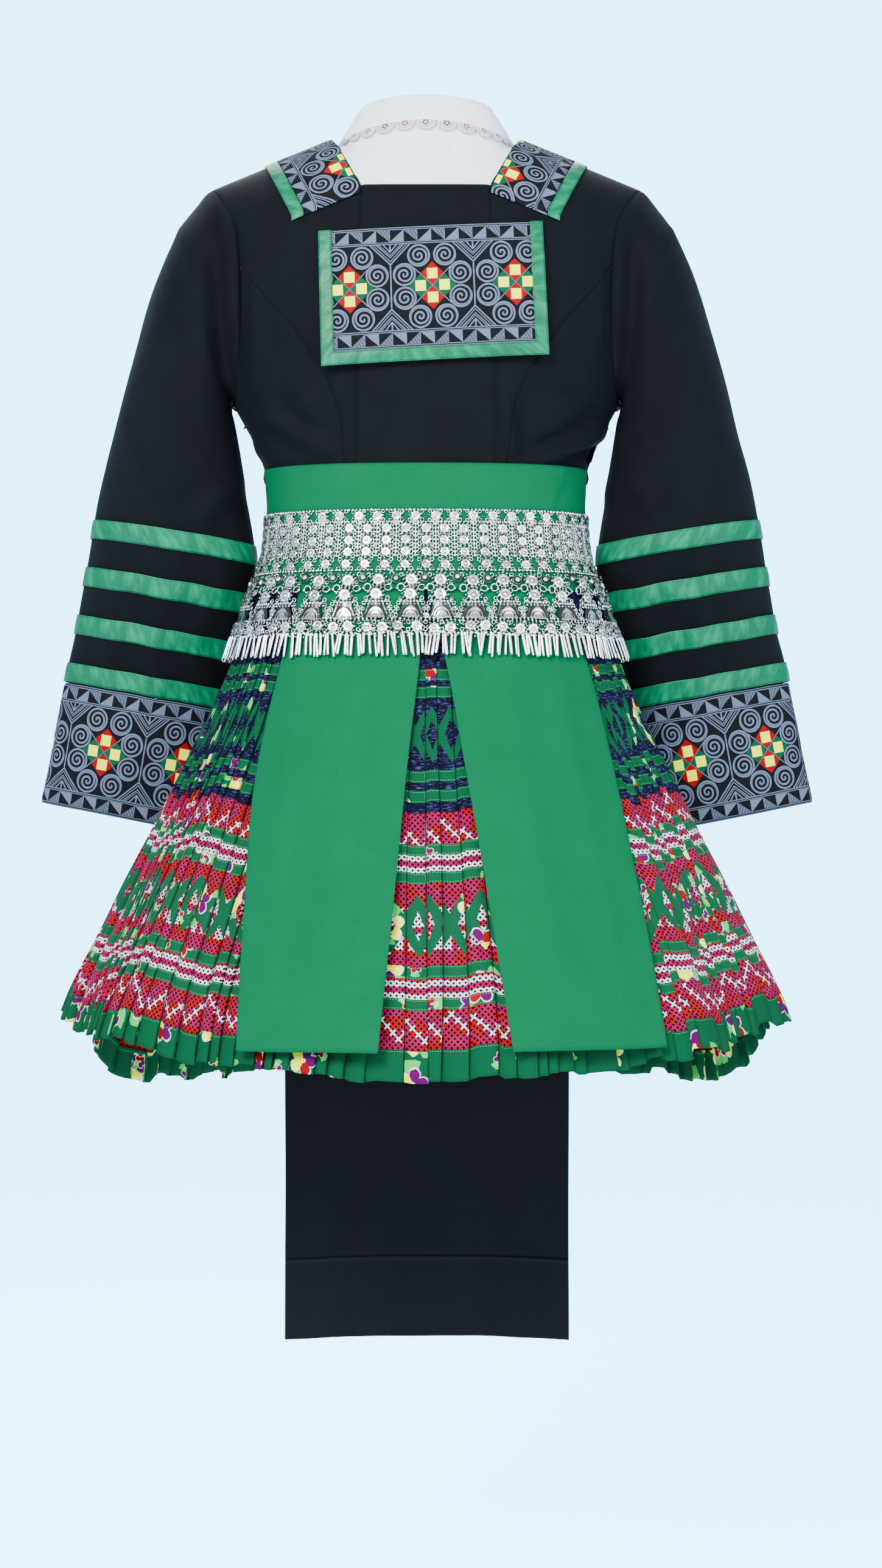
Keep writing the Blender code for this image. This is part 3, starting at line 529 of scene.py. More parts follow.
def make_indigo():
    material, shader, x, y = new_material("indigo cloth", 0.80)
    weave, _ = use_group(PLAIN_WEAVE, x, y)
    streaks = noise(x * 0.25, y, 1.3, 3.0, 2.0)
    blotch = noise(x, y, 8.0, 2.0, 5.0)
    colour = blend(streaks.above(0.56, 0.10) * blotch.above(0.42, 0.25), srgb(10, 9, 24), srgb(46, 52, 98))
    (flowers,) = use_group(FLOWERED, x, y)
    leaves = lattice(x, y, 149.0, 41.0, 38.0, 8.6)
    colour = blend(leaves, colour, flowers)
    strips = ((111.8, 122.1), (127.0, 137.4), (200.5, 210.5), (217.5, 227.8))
    colour, height = add_strips(x, y, colour, flowers, strips, leaves * 0.8)
    set_colour(shader, colour)
    set_bump(shader, height + weave * 0.12, 0.0006, 0.9)
    return material


def make_stitched():
    material, shader, x, y = new_material("cross stitch", 0.66, sheen=0.03)
    thread, column, row, strand = use_group(CROSS_STITCH, x, y)
    pick = dice(column, row, 1.0)
    pink = blend(pick, srgb(130, 0, 54), srgb(152, 0, 70))
    cluster = noise(column, row, 3.2, 1.0, 3.0) + (pick - 0.5) * 0.16
    colour = blend(cluster.above(0.54, 0.01), pink, srgb(150, 0, 4))
    white = srgb(208, 202, 214)
    zigzag = abs((column / 8.0).fract() * 2.0 - 1.0) * 4.0
    for first in (48.0, 80.0):
        away = abs(row - first - zigzag.floor())
        colour = blend(away.below(0.5, 0.01) * row.between(first - 0.5, first + 4.5, 0.01), colour, white)
    for first in (54.0, 75.0):
        ends = row.between(first - 0.5, first + 0.5, 0.01).most(row.between(first + 1.5, first + 2.5, 0.01))
        colour = blend(ends, colour, white)
        centre = row.between(first + 0.5, first + 1.5, 0.01)
        colour = blend(centre, colour, pink)
    crosses = (column / 4.0).fract().below(0.5, 0.01) * row.between(62.5, 69.5, 0.01)
    lens = crosses * abs((row / 4.0).fract() - 0.5).above(0.2, 0.01)
    colour = blend(lens, colour, white)
    colour = blend(thread, srgb(10, 2, 9), colour)
    (flowers,) = use_group(FLOWERED, x, y)
    leaves = lattice(x, y, 310.5, 42.0, 46.0, 10.4)
    colour = blend(leaves, colour, flowers)
    strips = ((264.0, 273.0), (287.1, 296.8), (365.3, 375.6), (391.8, 401.2))
    colour, height = add_strips(x, y, colour, flowers, strips, (leaves * 0.9).most(strand * 0.75))
    set_colour(shader, colour)
    set_bump(shader, height, 0.0008, 0.9)
    return material


def make_floral():
    material, shader, x, y = new_material("flowered cotton", 0.76)
    weave, _ = use_group(PLAIN_WEAVE, x, y)
    (flowers,) = use_group(FLOWERED, x, y)
    colour, _ = add_strips(x, y, flowers, flowers, ((434.0, 520.0),), weave * 0.15)
    set_colour(shader, colour)
    set_bump(shader, weave * 0.5, 0.00025, 0.8)
    return material


indigo = make_indigo()
stitched = make_stitched()
floral = make_floral()
print("skirt cloths made, nodes in the cross stitch material:", len(stitched.node_tree.nodes))

# %% [markdown]
# ## Sheets of cloth
# Every piece of cloth starts as a grid of points on the same form that the CAD solids follow. Creases move
# the points along their normals, then the grid becomes a mesh with a map of the cloth in metres, so
# patterns keep their size. A thin wall gives it an edge, a seam rolls inwards over its last millimetre, and
# the sheet's flat size is measured before anything is creased.

# %% From points to cloth


def table(names, *rows):
    return dict(zip(names.split(), np.array(rows, float).T))


def smooth(columns, name, at):
    """The named column at values of the first one, on a smooth curve through the rows."""
    keys = next(iter(columns.values()))
    values = columns[name]
    slopes = np.gradient(values, keys)
    at = np.clip(at, keys[0], keys[-1])
    low = np.clip(np.searchsorted(keys, at) - 1, 0, len(keys) - 2)
    width = keys[low + 1] - keys[low]
    t = (at - keys[low]) / width
    ends = values[low] * (1 + 2 * t) * (1 - t) ** 2 + values[low + 1] * t * t * (3 - 2 * t)
    return ends + width * (slopes[low] * t * (1 - t) ** 2 - slopes[low + 1] * t * t * (1 - t))


def lerp(start, end, t):
    return start + (end - start) * t


def ramp(low, high, at):
    """0 below low and 1 above high, with soft ends."""
    t = np.clip((at - low) / (high - low), 0, 1)
    return t * t * (3 - 2 * t)


def power(value, exponent):
    return np.sign(value) * np.abs(value) ** exponent


def stack(x, y, z):
    return np.stack(np.broadcast_arrays(x, y, z), -1).astype(float)


def unit(vectors):
    return vectors / np.maximum(np.linalg.norm(vectors, axis=-1, keepdims=True), 1e-12)


def circle(count):
    """Angles that go once round, without the last one."""
    return np.arange(count) * math.tau / count


def rejoined(grid):
    """A closed grid with its first column once more at the end."""
    return np.concatenate([grid, grid[:, :1]], 1)


def mirrored(points, *maps):
    """A grid on the wearer's other side, with its columns turned round so that it still faces outwards."""
    return points[:, ::-1] * (-1, 1, 1), *(values[:, ::-1] for values in maps)


def normals(points, closed=False):
    """Outward normals of a grid whose rows run downwards and whose points run left, seen from outside."""
    if closed:
        along = np.roll(points, -1, 1) - np.roll(points, 1, 1)
    else:
        along = np.gradient(points, axis=1)
    return unit(np.cross(along, np.gradient(points, axis=0)))


def arcs(points, axis):
    """Distance along the rows (axis 1) or columns (axis 0) of a grid."""
    steps = np.linalg.norm(np.diff(points, axis=axis), axis=-1)
    first = np.zeros_like(np.take(steps, [0], axis))
    return np.cumsum(np.concatenate([first, steps], axis), axis)


def creases(u, v, lines):
    """Height of the listed creases at places in the cloth. Each is (u, v, u, v, width, height, bend)."""
    total = np.zeros(np.broadcast(u, v).shape)
    for u0, v0, u1, v1, width, height, bend in lines:
        length = math.hypot(u1 - u0, v1 - v0)
        t = ((u - u0) * (u1 - u0) + (v - v0) * (v1 - v0)) / length**2
        side = ((u - u0) * (v1 - v0) - (v - v0) * (u1 - u0)) / length
        side = side + bend * 4 * t * (1 - t) * ((t > 0) & (t < 1))
        fade = ramp(-0.12, 0.30, t) * ramp(-0.12, 0.35, 1 - t)
        ridge = np.exp(-((side / width) ** 2)) - 0.55 * np.exp(-(((side - 1.7 * width) / (1.1 * width)) ** 2))
        total += height * ridge * fade
    return total


def waves(u, v, pitch, seed):
    """Soft uneven hills from -1 to 1, the same on every run."""
    chance = np.random.default_rng(seed)
    total = np.zeros(np.broadcast(u, v).shape)
    for _ in range(7):
        angle, phase = chance.uniform(0, math.tau, 2)
        size = math.tau / (pitch * chance.uniform(0.7, 1.7))
        total += np.sin((u * math.cos(angle) + v * math.sin(angle)) * size + phase)
    return total / 7


SHEETS = []


def with_allowance(points, uv, side, closed):
    """The grid with a seam allowance along one side, which turns in under the next piece."""
    under = normals(points, closed) * -0.0016
    axis, last = (0, side == "b") if side in "tb" else (1, side == "r")
    grid, mapped, under = (np.moveaxis(a, axis, 0)[:: -1 if last else 1] for a in (points, uv, under))
    extra = grid[:1] + unit(grid[:1] - grid[1:2]) * 0.0030 + under[:1]
    grid = np.concatenate([extra, grid])
    mapped = np.concatenate([2 * mapped[:1] - mapped[1:2], mapped])
    return tuple(np.moveaxis(a[:: -1 if last else 1], 0, axis) for a in (grid, mapped))


def at_corners(grid, i, j):
    """The values of a grid at the four corners of each face."""
    return np.stack([grid[:-1][:, i], grid[:-1][:, j], grid[1:][:, j], grid[1:][:, i]], 2)


def new_object(name, points, faces, *materials):
    mesh = bpy.data.meshes.new(name)
    mesh.from_pydata(points.reshape(-1, 3).tolist(), [], faces)
    for material in materials:
        mesh.materials.append(material)
    mesh.shade_smooth()
    obj = bpy.data.objects.new(name, mesh)
    bpy.context.collection.objects.link(obj)
    return obj


def add_map(obj, name, places):
    """A UV map from a place for each corner."""
    obj.data.uv_layers.new(name=name).data.foreach_set("uv", places.reshape(-1))


def stand_for(obj, node):
    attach(obj, "root")
    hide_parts(node)


def add_cloth(node, points, material, slot, uv=None, wall=0.0008, inner=None, closed=False, held="draped",
              on=(), relief=None, margin=None, flat=None, allowance=""):
    """One sheet of cloth that stands for one CAD node.
    uv has one column more than the points on a closed sheet.
    margin, on a ribbon, is the distance from its nearer edge. flat is for a piece not cut as its rows run."""
    ring = rejoined(points) if closed else points
    across, down = arcs(ring, 1), arcs(ring, 0)
    uv = np.stack([across, down], -1) if uv is None else uv
    flat = flat or (float(across[:, -1].max()), float(down[-1].max()))
    if relief is not None:
        points = points + normals(points, closed) * relief[..., None]
    for side in allowance:
        points, uv = with_allowance(points, uv, side, closed)
    rows, columns = points.shape[:2]
    index = np.arange(rows * columns).reshape(rows, columns)
    i = np.arange(columns if closed else columns - 1)
    j = (i + 1) % columns
    faces = at_corners(index, i, j).reshape(-1, 4).tolist()
    obj = new_object(node + "_cloth", points, faces, material, inner or material)
    add_map(obj, "Cloth", at_corners(uv, i, i + 1))
    if margin is not None:
        add_map(obj, "Margin", at_corners(np.stack([margin, margin * 0], -1), i, j))
    solid = obj.modifiers.new("wall", "SOLIDIFY")
    solid.thickness = wall
    solid.offset = -1.0
    solid.material_offset = 1
    stand_for(obj, node)
    share = min(sum(face.area for face in obj.data.polygons) / (flat[0] * flat[1]), 1.0)
    share * flat[0] * flat[1]
    SHEETS.append((node, round(flat[0] * 1000), round(flat[1] * 1000), round(share, 2)))


def seam_spaced(columns):
    """Places from 0 to 1 that crowd towards both ends."""
    t = np.linspace(0, 1, columns)
    return lerp(t, 0.5 - 0.5 * np.cos(math.pi * t), 0.75)


def seam_roll(points, sides="lr", depth=0.0010, reach=0.0016):
    """How far the sheet turns inwards near its left, right, top and bottom edges."""
    across, down = arcs(points, 1), arcs(points, 0)
    away = np.full(points.shape[:2], 1.0)
    if "r" in sides:
        away = np.minimum(away, across)
    if "l" in sides:
        away = np.minimum(away, across[:, -1:] - across)
    if "t" in sides:
        away = np.minimum(away, down)
    if "b" in sides:
        away = np.minimum(away, down[-1:] - down)
    return -depth * np.exp(-((away / reach) ** 2))


print("cloth helpers ready")

# %% [markdown]
# ## The jacket body
# The jacket is seven panels of suiting. Two shaped seams on each side of the back start at the armhole and
# at the neck, and take in the waist. The cloth is smooth over the shoulders and breaks into soft folds
# above the sash, more on the wearer's right. The folds stay shallow under the flap, the bands and the sash,
# so nothing pokes through.

# %% Jacket body
JACKET_HEM, NECK_HALF, SHOULDER_HALF, SHOULDER_DROP = -0.372, 0.086, 0.200, 0.0455
NECKLINE_HALF, NECKLINE_DROP, V_DEPTH, RIDGE_ROUNDING, ROUNDNESS = 0.058, 0.068, 0.216, 0.075, 2.4
ARMHOLE_TOP, ARMHOLE_BOTTOM = -SHOULDER_DROP, -0.240
SEAM_GAP, RIDGE_GAP, ARMHOLE_GAP, LAYER_GAP = 0.0006, 0.0005, 0.0009, 0.0005
TORSO = table(
    "height width back front",
    (-0.420, 0.1460, 0.092, 0.100), (-0.375, 0.1430, 0.090, 0.098), (-0.340, 0.1430, 0.090, 0.099),
    (-0.303, 0.1472, 0.093, 0.106), (-0.273, 0.1590, 0.098, 0.120), (-0.240, 0.1760, 0.103, 0.133),
    (-0.190, 0.1840, 0.106, 0.133), (-0.137, 0.1910, 0.104, 0.118), (-0.098, 0.2000, 0.096, 0.098),
    (-0.056, 0.2080, 0.088, 0.082), (0.000, 0.2150, 0.080, 0.074), (0.041, 0.2150, 0.075, 0.070),
)
ARMHOLE = table(
    "turn back front",
    (0, 0.2000, 0.2000), (30, 0.1860, 0.1830), (52, 0.1735, 0.1690), (75, 0.1690, 0.1635),
    (120, 0.1690, 0.1640), (150, 0.1720, 0.1690), (180, 0.1760, 0.1760),
)
CENTRE_SEAM = table("height x", (-0.375, 0.0640), (-0.220, 0.0615), (-0.056, 0.0580))
PRINCESS_SEAM = table(
    "height x",
    (-0.375, 0.0720), (-0.300, 0.0735), (-0.250, 0.0810), (-0.220, 0.0935), (-0.190, 0.1130),
    (-0.160, 0.1380), (-0.135, 0.1590), (-0.119, 0.1690),
)
BACK_CREASES = [
    (0.15, -0.25, 0.078, -0.296, 0.0085, 0.0057, 0.004),
    (0.158, -0.276, 0.11, -0.302, 0.007, 0.00494, 0.002),
    (0.12, -0.215, 0.086, -0.3, 0.01, 0.00304, 0),
    (-0.168, -0.244, -0.084, -0.297, 0.0075, -0.00798, -0.006),
    (-0.16, -0.262, -0.094, -0.3, 0.007, 0.00836, -0.004),
    (-0.158, -0.284, -0.106, -0.304, 0.006, -0.0057, -0.002),
    (-0.074, -0.245, -0.078, -0.301, 0.008, 0.0057, 0.002),
    (-0.1, -0.13, -0.056, -0.3, 0.012, 0.00228, 0),
    (0.04, -0.235, 0.052, -0.3, 0.012, 0.0019, 0),
    (0.16, -0.12, 0.15, -0.215, 0.01, 0.00304, 0.004),
    (-0.16, -0.12, -0.15, -0.215, 0.01, 0.00342, -0.004),
    (-0.01, -0.24, -0.03, -0.3, 0.016, 0.0019, 0),
]
FRONT_CREASES = [
    (0.15, -0.235, 0.06, -0.297, 0.009, 0.00608, 0.004),
    (-0.152, -0.23, -0.052, -0.296, 0.009, 0.00646, -0.004), (0.12, -0.16, 0.07, -0.29, 0.011, 0.00418, 0),
    (-0.118, -0.15, -0.08, -0.292, 0.011, 0.00418, 0), (0.155, -0.11, 0.14, -0.2, 0.01, 0.0038, 0.004),
    (-0.155, -0.11, -0.142, -0.205, 0.01, 0.0038, -0.004),
]


def shoulder_height(x):
    slope = SHOULDER_DROP / (SHOULDER_HALF - NECK_HALF)
    return slope * (NECK_HALF - np.maximum(np.abs(x), NECKLINE_HALF))


def torso_depth(x, height, face):
    depth = np.where(face > 0, smooth(TORSO, "back", height), smooth(TORSO, "front", height))
    across = np.minimum(np.abs(x) / smooth(TORSO, "width", height), 1.0)
    below = np.clip(shoulder_height(x) - height, 0, RIDGE_ROUNDING) / RIDGE_ROUNDING
    return depth * (1 - across**ROUNDNESS) ** (1 / ROUNDNESS) * np.sqrt(1 - (1 - below) ** 2)


def on_torso(x, below, out=0.0):
    """Points below the shoulder ridge, behind it if positive, moved out along the normal."""
    x, below = np.broadcast_arrays(np.asarray(x, float), np.asarray(below, float))

    def base(x, below):
        height = shoulder_height(x) - np.abs(below)
        face = np.where(below >= 0, 1.0, -1.0)
        return stack(x, face * torso_depth(x, height, face), height)

    step = 0.002
    across = base(x + step, below) - base(x - step, below)
    down = base(x, below + step) - base(x, below - step)
    return base(x, below) + unit(np.cross(across, down)) * np.asarray(out)[..., None]


def panel_grid(inner, outer, columns, face):
    """A grid between two edges, given as x and height from the top down."""
    x_in, (x_out, z_out) = inner[0], outer
    width = np.maximum(np.maximum(smooth(TORSO, "width", z_out), np.abs(x_out)), np.abs(x_in))
    turns = [np.arcsin(power(x / width, ROUNDNESS / 2))[:, None] for x in (x_in, x_out)]
    ups = [((z - JACKET_HEM) / (shoulder_height(x) - JACKET_HEM))[:, None] for x, z in (inner, outer)]
    t = seam_spaced(columns)[None]
    x = width[:, None] * power(np.sin(lerp(*turns, t)), 2 / ROUNDNESS)
    height = lerp(JACKET_HEM, shoulder_height(x), lerp(*ups, t))
    grid = stack(x, face * np.maximum(torso_depth(x, height, face), RIDGE_GAP), height)
    return grid if face > 0 else grid[:, ::-1]


def armhole_edge(turn, face):
    middle = (ARMHOLE_TOP + ARMHOLE_BOTTOM) / 2
    height = middle + (ARMHOLE_TOP - middle) * np.cos(np.radians(turn))
    return smooth(ARMHOLE, "back" if face > 0 else "front", turn), np.maximum(height, ARMHOLE_BOTTOM)


def jacket_relief(points):
    """Creases of the body, shallow under the flap, the bands and the sash, and none at the armhole."""
    x, y, z = np.moveaxis(points, -1, 0)
    lines = creases(x, z, BACK_CREASES if y.mean() > 0 else FRONT_CREASES)
    relief = lines + 0.0009 * waves(x, z, 0.075, 3) * ramp(-0.06, -0.12, z)
    middle = (ARMHOLE_TOP + ARMHOLE_BOTTOM) / 2
    turn = np.degrees(np.arccos(np.clip((z - middle) / (ARMHOLE_TOP - middle), -1, 1)))
    edge, _ = armhole_edge(turn, y.mean())
    relief *= np.where(z > ARMHOLE_BOTTOM, ramp(0.001, 0.016, edge - np.abs(x)), 1.0)
    relief *= ramp(-0.306, -0.292, z)
    if y.mean() > 0:
        covered = ramp(0.118, 0.106, np.abs(x)) * ramp(-0.226, -0.212, z)
        covered = np.maximum(covered, ramp(-0.090, -0.070, z))
    else:
        covered = ramp(0.075, 0.060, np.abs(x) - NECK_HALF * np.clip(1 + z / V_DEPTH, 0, 1))
    return np.where(relief > 0, relief * (1 - covered), relief * (1 - 0.5 * covered))


STEPS = 7


def along(values, steps=STEPS):
    """More values between those of a list."""
    at = np.arange(len(values))
    return np.interp(np.linspace(0, len(values) - 1, (len(values) - 1) * steps + 1), at, values)


def add_panel(node, grid, mirror=False):
    grid = mirrored(grid)[0] if mirror else grid
    relief = jacket_relief(grid) + seam_roll(grid, "lr")
    add_cloth(node, grid, suiting, "suiting", inner=lining, relief=relief, held="stretched",
              on=("inner_yoke",), allowance="lrt")


WAIST_HEIGHTS = [-0.273, -0.303, -0.338, JACKET_HEM]
SIDE_HEIGHTS = [-0.256] + WAIST_HEIGHTS
BACK_TURNS = [0, 22.5, 45, 67.5, 80, 90, 112.5, 135, 157.5, 180]
FRONT_TURNS = [22.5 * i for i in range(9)]
NECK_ROWS, V_ROWS = 3 * STEPS, 8 * STEPS
heights = along([-0.056, -0.090, -0.125, -0.165, -0.205, -0.240] + WAIST_HEIGHTS, 9)
edge = smooth(CENTRE_SEAM, "x", heights) - SEAM_GAP / 2
add_panel("jacket_back_centre", panel_grid((-edge, heights), (edge, heights), 56, 1))

turns = along(BACK_TURNS + [180] * 5)
side_z = along([armhole_edge(t, 1)[1] for t in BACK_TURNS] + SIDE_HEIGHTS)
step = np.linspace(0, 14, len(turns))
seam_z = np.where(step <= 9, armhole_edge(turns, 1)[1], side_z)
armhole_x = armhole_edge(turns, 1)[0]
princess_x = smooth(PRINCESS_SEAM, "x", seam_z)
outer = (np.where(step < 4, armhole_x, princess_x - SEAM_GAP / 2), seam_z)
neck = np.clip(step / 3, 0, 1)
inner_x = lerp(NECK_HALF, NECKLINE_HALF, neck) + SEAM_GAP / 2
inner_z = shoulder_height(inner_x) - NECKLINE_DROP * neck
centre_z = along([inner_z[NECK_ROWS], -0.125, -0.150, -0.180, -0.205, -0.225, -0.240] + SIDE_HEIGHTS)
inner_z[NECK_ROWS:] = centre_z
inner_x[NECK_ROWS:] = smooth(CENTRE_SEAM, "x", centre_z) + SEAM_GAP / 2
back_mid = panel_grid((inner_x, inner_z), outer, 44, 1)
lower = step >= 4
inner = (princess_x[lower] + SEAM_GAP / 2, seam_z[lower])
side_x = np.where(step <= 9, armhole_x, smooth(TORSO, "width", side_z))[lower]
back_side = panel_grid(inner, (side_x, seam_z[lower]), 44, 1)

turns = along(FRONT_TURNS + [180] * 5)
step = np.linspace(0, 13, len(turns))
side_z = along([armhole_edge(t, -1)[1] for t in FRONT_TURNS] + SIDE_HEIGHTS)
outer_z = np.where(step <= 8, armhole_edge(turns, -1)[1], side_z)
outer_x = np.where(step <= 8, armhole_edge(turns, -1)[0], smooth(TORSO, "width", side_z))
drops = along([0.0, 0.016, 0.040, 0.072, 0.110, 0.145, 0.177, 0.202, 0.220] + [0.220] * 5)
inner_x = np.maximum(NECK_HALF * (1 - drops / V_DEPTH), SEAM_GAP / 2)
inner_z = shoulder_height(inner_x) - drops
inner_z[V_ROWS:] = along([inner_z[V_ROWS], -0.240] + WAIST_HEIGHTS)
front = panel_grid((inner_x, inner_z), (outer_x, outer_z), 60, -1)
for side, mirror in (("left", False), ("right", True)):
    add_panel(f"jacket_back_mid_{side}", back_mid, mirror)
    add_panel(f"jacket_back_side_{side}", back_side, mirror)
    add_panel(f"jacket_front_{side}", front, mirror)
print("jacket panels, flat mm:", SHEETS)

# %% [markdown]
# ## Flap and shoulder bands
# The flap hangs from the neck like a sailor's collar and is free at its lower edge, so its corners stand
# off the back and the edge waves a little. The bands run from the back neckline over the shoulders and down
# both front edges. The print's centre line lies on the neck edge of a band, so its medallions are cut in
# half there.

# %% Flap and shoulder bands
FLAP_CORNERS = ((0.0958, -0.0965), (-0.1044, -0.0870), (0.0925, -0.2190), (-0.1100, -0.2080))
FLAP_WIDTH, FLAP_HEIGHT, FLAP_RIBBON, FLAP_PRINT_MIDDLE = 0.205, 0.122, 0.012, 0.0555
FLAP_LIFT, CORNER_LIFT, FLAP_OUT = 0.0015, 0.006, 0.0022
BAND_INSET, BAND_WIDTH, BAND_RIBBON, BAND_OUT = 0.0004, 0.050, 0.0115, 0.0021
RIBBON_WALL, RIBBON_OUT, RIBBON_ROWS = 0.0005, LAYER_GAP + 0.0010, 9
# Where the middle of a medallion lies on each band, behind the shoulder ridge
MEDALLION_AT = {"left": 0.040, "right": 0.048}
STATIONS = [-0.285, -0.255, -0.225, -0.200, -0.170, -0.140, -0.110, -0.080, -0.055, -0.033, -0.017, -0.006, 0.0,
            0.006, 0.017, 0.034, 0.055, 0.073]


def flap_grid(across, down, out):
    corners = [np.array(c) for c in FLAP_CORNERS]
    top = lerp(corners[0], corners[1], across[..., None])
    bottom = lerp(corners[2], corners[3], across[..., None])
    x, height = np.moveaxis(lerp(top, bottom, down[..., None]), -1, 0)
    lift = down * (FLAP_LIFT + CORNER_LIFT * (2 * across - 1) ** 2)
    ripple = ramp(0.35, 1.0, down) * (0.0016 * waves(across * 0.2, down * 0.03, 0.045, 21) + 0.0010)
    return stack(x, torso_depth(x, height, 1) + lift + ripple + out, height)


def pucker(length, width_share, seed, size):
    """Small uneven ridges across a ribbon, strongest along its middle."""
    chance = np.random.default_rng(seed)
    total = np.zeros(np.broadcast(length, width_share).shape)
    place = length.min()
    while place < length.max():
        place += chance.uniform(0.005, 0.017)
        lean, width = chance.uniform(-0.006, 0.006), chance.uniform(0.0012, 0.0030)
        height, centre = chance.uniform(0.3, 1.3), chance.uniform(0.3, 0.7)
        away = length - place - lean * (width_share - 0.5)
        total += height * np.exp(-((away / width) ** 2)) * np.exp(-(((width_share - centre) / 0.28) ** 2))
    belly = np.sin(math.pi * np.clip(width_share, 0, 1))
    return size * total * belly + 0.0002 * np.sin(math.pi * width_share)


across, down = np.meshgrid(np.linspace(1, 0, 81), np.linspace(0, 1, 49))
flap_uv = np.stack([(0.5 - across) * FLAP_WIDTH, down * FLAP_HEIGHT - FLAP_PRINT_MIDDLE], -1)
add_cloth("back_flap", flap_grid(across, down, FLAP_OUT), spiral_cloth, "spiral_cloth", uv=flap_uv,
          wall=0.0009, held="hung", on=("jacket_back_centre", "shoulder_band_left", "shoulder_band_right"))

side, foot = np.linspace(0, 1, 62)[:-1], np.linspace(0, 1, 102)
outer = np.array([(0, t) for t in side] + [(t, 1) for t in foot] + [(1, 1 - t) for t in side[1:]] + [(1, 0)])
wide, tall = FLAP_RIBBON / FLAP_WIDTH, FLAP_RIBBON / FLAP_HEIGHT
inner = np.stack([lerp(wide, 1 - wide, outer[:, 0]), outer[:, 1] * (1 - tall)], -1)
share = np.linspace(0, 1, RIBBON_ROWS)[:, None]
edges = lerp(inner[None], outer[None], share[..., None])[:, ::-1]
points = flap_grid(edges[..., 0], edges[..., 1], FLAP_OUT + RIBBON_OUT)
run = arcs(points, 1)[RIBBON_ROWS // 2] + 0 * share
share = share + 0 * run
ridge = pucker(run, share, 31, 0.0006)
rise = (1 - edges[..., 1]) * FLAP_HEIGHT
corner = np.minimum(*(np.abs(x * FLAP_WIDTH - rise) for x in (edges[..., 0], 1 - edges[..., 0])))
ridge = ridge * ramp(0.000, 0.004, corner) - 0.0003 * np.exp(-((corner / 0.0006) ** 2))
uv = np.stack([run, share * FLAP_RIBBON], -1)
add_cloth("back_flap_ribbon", points, satin, "satin_ribbon", uv=uv, wall=RIBBON_WALL, relief=ridge,
          held="stretched", margin=np.minimum(share, 1 - share) * FLAP_RIBBON, on=("back_flap",))


def band_grid(below, from_neck):
    """Points of a strip that follows the neckline, at distances from it."""
    return on_torso(band_edge(below) + from_neck, below + 0 * from_neck, BAND_OUT + 0 * (below + from_neck))


def band_edge(below):
    behind = lerp(NECK_HALF, NECKLINE_HALF, np.minimum(below / NECKLINE_DROP, 1.0))
    return np.where(below >= 0, behind, np.maximum(NECK_HALF * (1 + below / V_DEPTH), ARMHOLE_GAP))


below = along(STATIONS, 9)[:, None]
for side, seed in (("left", 41), ("right", 39)):
    from_neck = np.linspace(BAND_INSET, BAND_WIDTH, 23)[None]
    points = band_grid(below, from_neck)
    run = arcs(points, 0)[:, 11:12]
    start = np.interp(MEDALLION_AT[side], below[:, 0], run[:, 0])
    uv = np.stack([run - start + 0 * from_neck, from_neck + 0 * below], -1)
    relief = 0.0003 * waves(from_neck, below, 0.05, 8) + seam_roll(points, "r", 0.0005)
    if side == "right":
        points, uv, relief = mirrored(points, uv, relief)
    add_cloth(f"shoulder_band_{side}", points, spiral_cloth, "spiral_cloth", uv=uv, relief=relief,
              held="stretched", on=(f"jacket_front_{side}", f"jacket_back_mid_{side}"))
    from_neck = np.linspace(BAND_WIDTH + SEAM_GAP, BAND_WIDTH + BAND_RIBBON, 11)[None]
    points = band_grid(below, from_neck)
    share = (from_neck - from_neck.min()) / np.ptp(from_neck) + 0 * below
    run = arcs(points, 0)[:, 5:6] + 0 * share
    uv = np.stack([run, share * BAND_RIBBON], -1)
    relief = pucker(run, share, seed, 0.0005)
    margin = np.minimum(share, 1 - share) * BAND_RIBBON
    if side == "right":
        points, uv, relief, margin = mirrored(points, uv, relief, margin)
    add_cloth(f"shoulder_ribbon_{side}", points, satin, "satin_ribbon", uv=uv, wall=RIBBON_WALL,
              relief=relief, margin=margin, held="stretched", on=(f"shoulder_band_{side}",))
print("flap, bands and their ribbons, flat mm:", SHEETS[-6:])

# %% [markdown]
# ## Sleeves, ribbons and cuffs
# Each sleeve is one piece of suiting, set into the armhole and hanging forward with the arm. The cloth that
# the arm leaves spare makes one deep fold behind the armhole and long soft ones below it. Four satin
# ribbons are sewn round the forearm, and the cuff of spiral cloth starts right under the last one. All of
# them share the sleeve's folds.

# %% Sleeves, ribbons and cuffs
SLEEVE = table(
    "section outer_x outer_z inner_x inner_z y depth",
    (1, 0.2265, -0.0800, 0.1768, -0.2425, 0.001, 0.0600),
    (2, 0.2465, -0.1260, 0.1770, -0.2455, 0.002, 0.0605),
    (3, 0.2640, -0.1820, 0.1768, -0.2500, 0.001, 0.0590),
    (4, 0.2805, -0.2440, 0.1745, -0.2620, -0.002, 0.0565),
    (5, 0.2990, -0.3100, 0.1640, -0.3300, -0.012, 0.0520),
    (6, 0.3130, -0.3740, 0.1585, -0.4000, -0.032, 0.0460),
    (7, 0.3285, -0.4420, 0.1780, -0.4700, -0.065, 0.0400),
    (8, 0.3430, -0.4950, 0.1875, -0.5230, -0.088, 0.0360),
    (9, 0.3690, -0.6065, 0.2050, -0.6385, -0.122, 0.0310),
)
CUFF_TOP, RIBBON_TOP, RIBBON_HEIGHT, RIBBON_PITCH = -0.507, -0.357, 0.0176, 0.0437
CUFF_HEIGHT, AROUND = 0.1096, 124
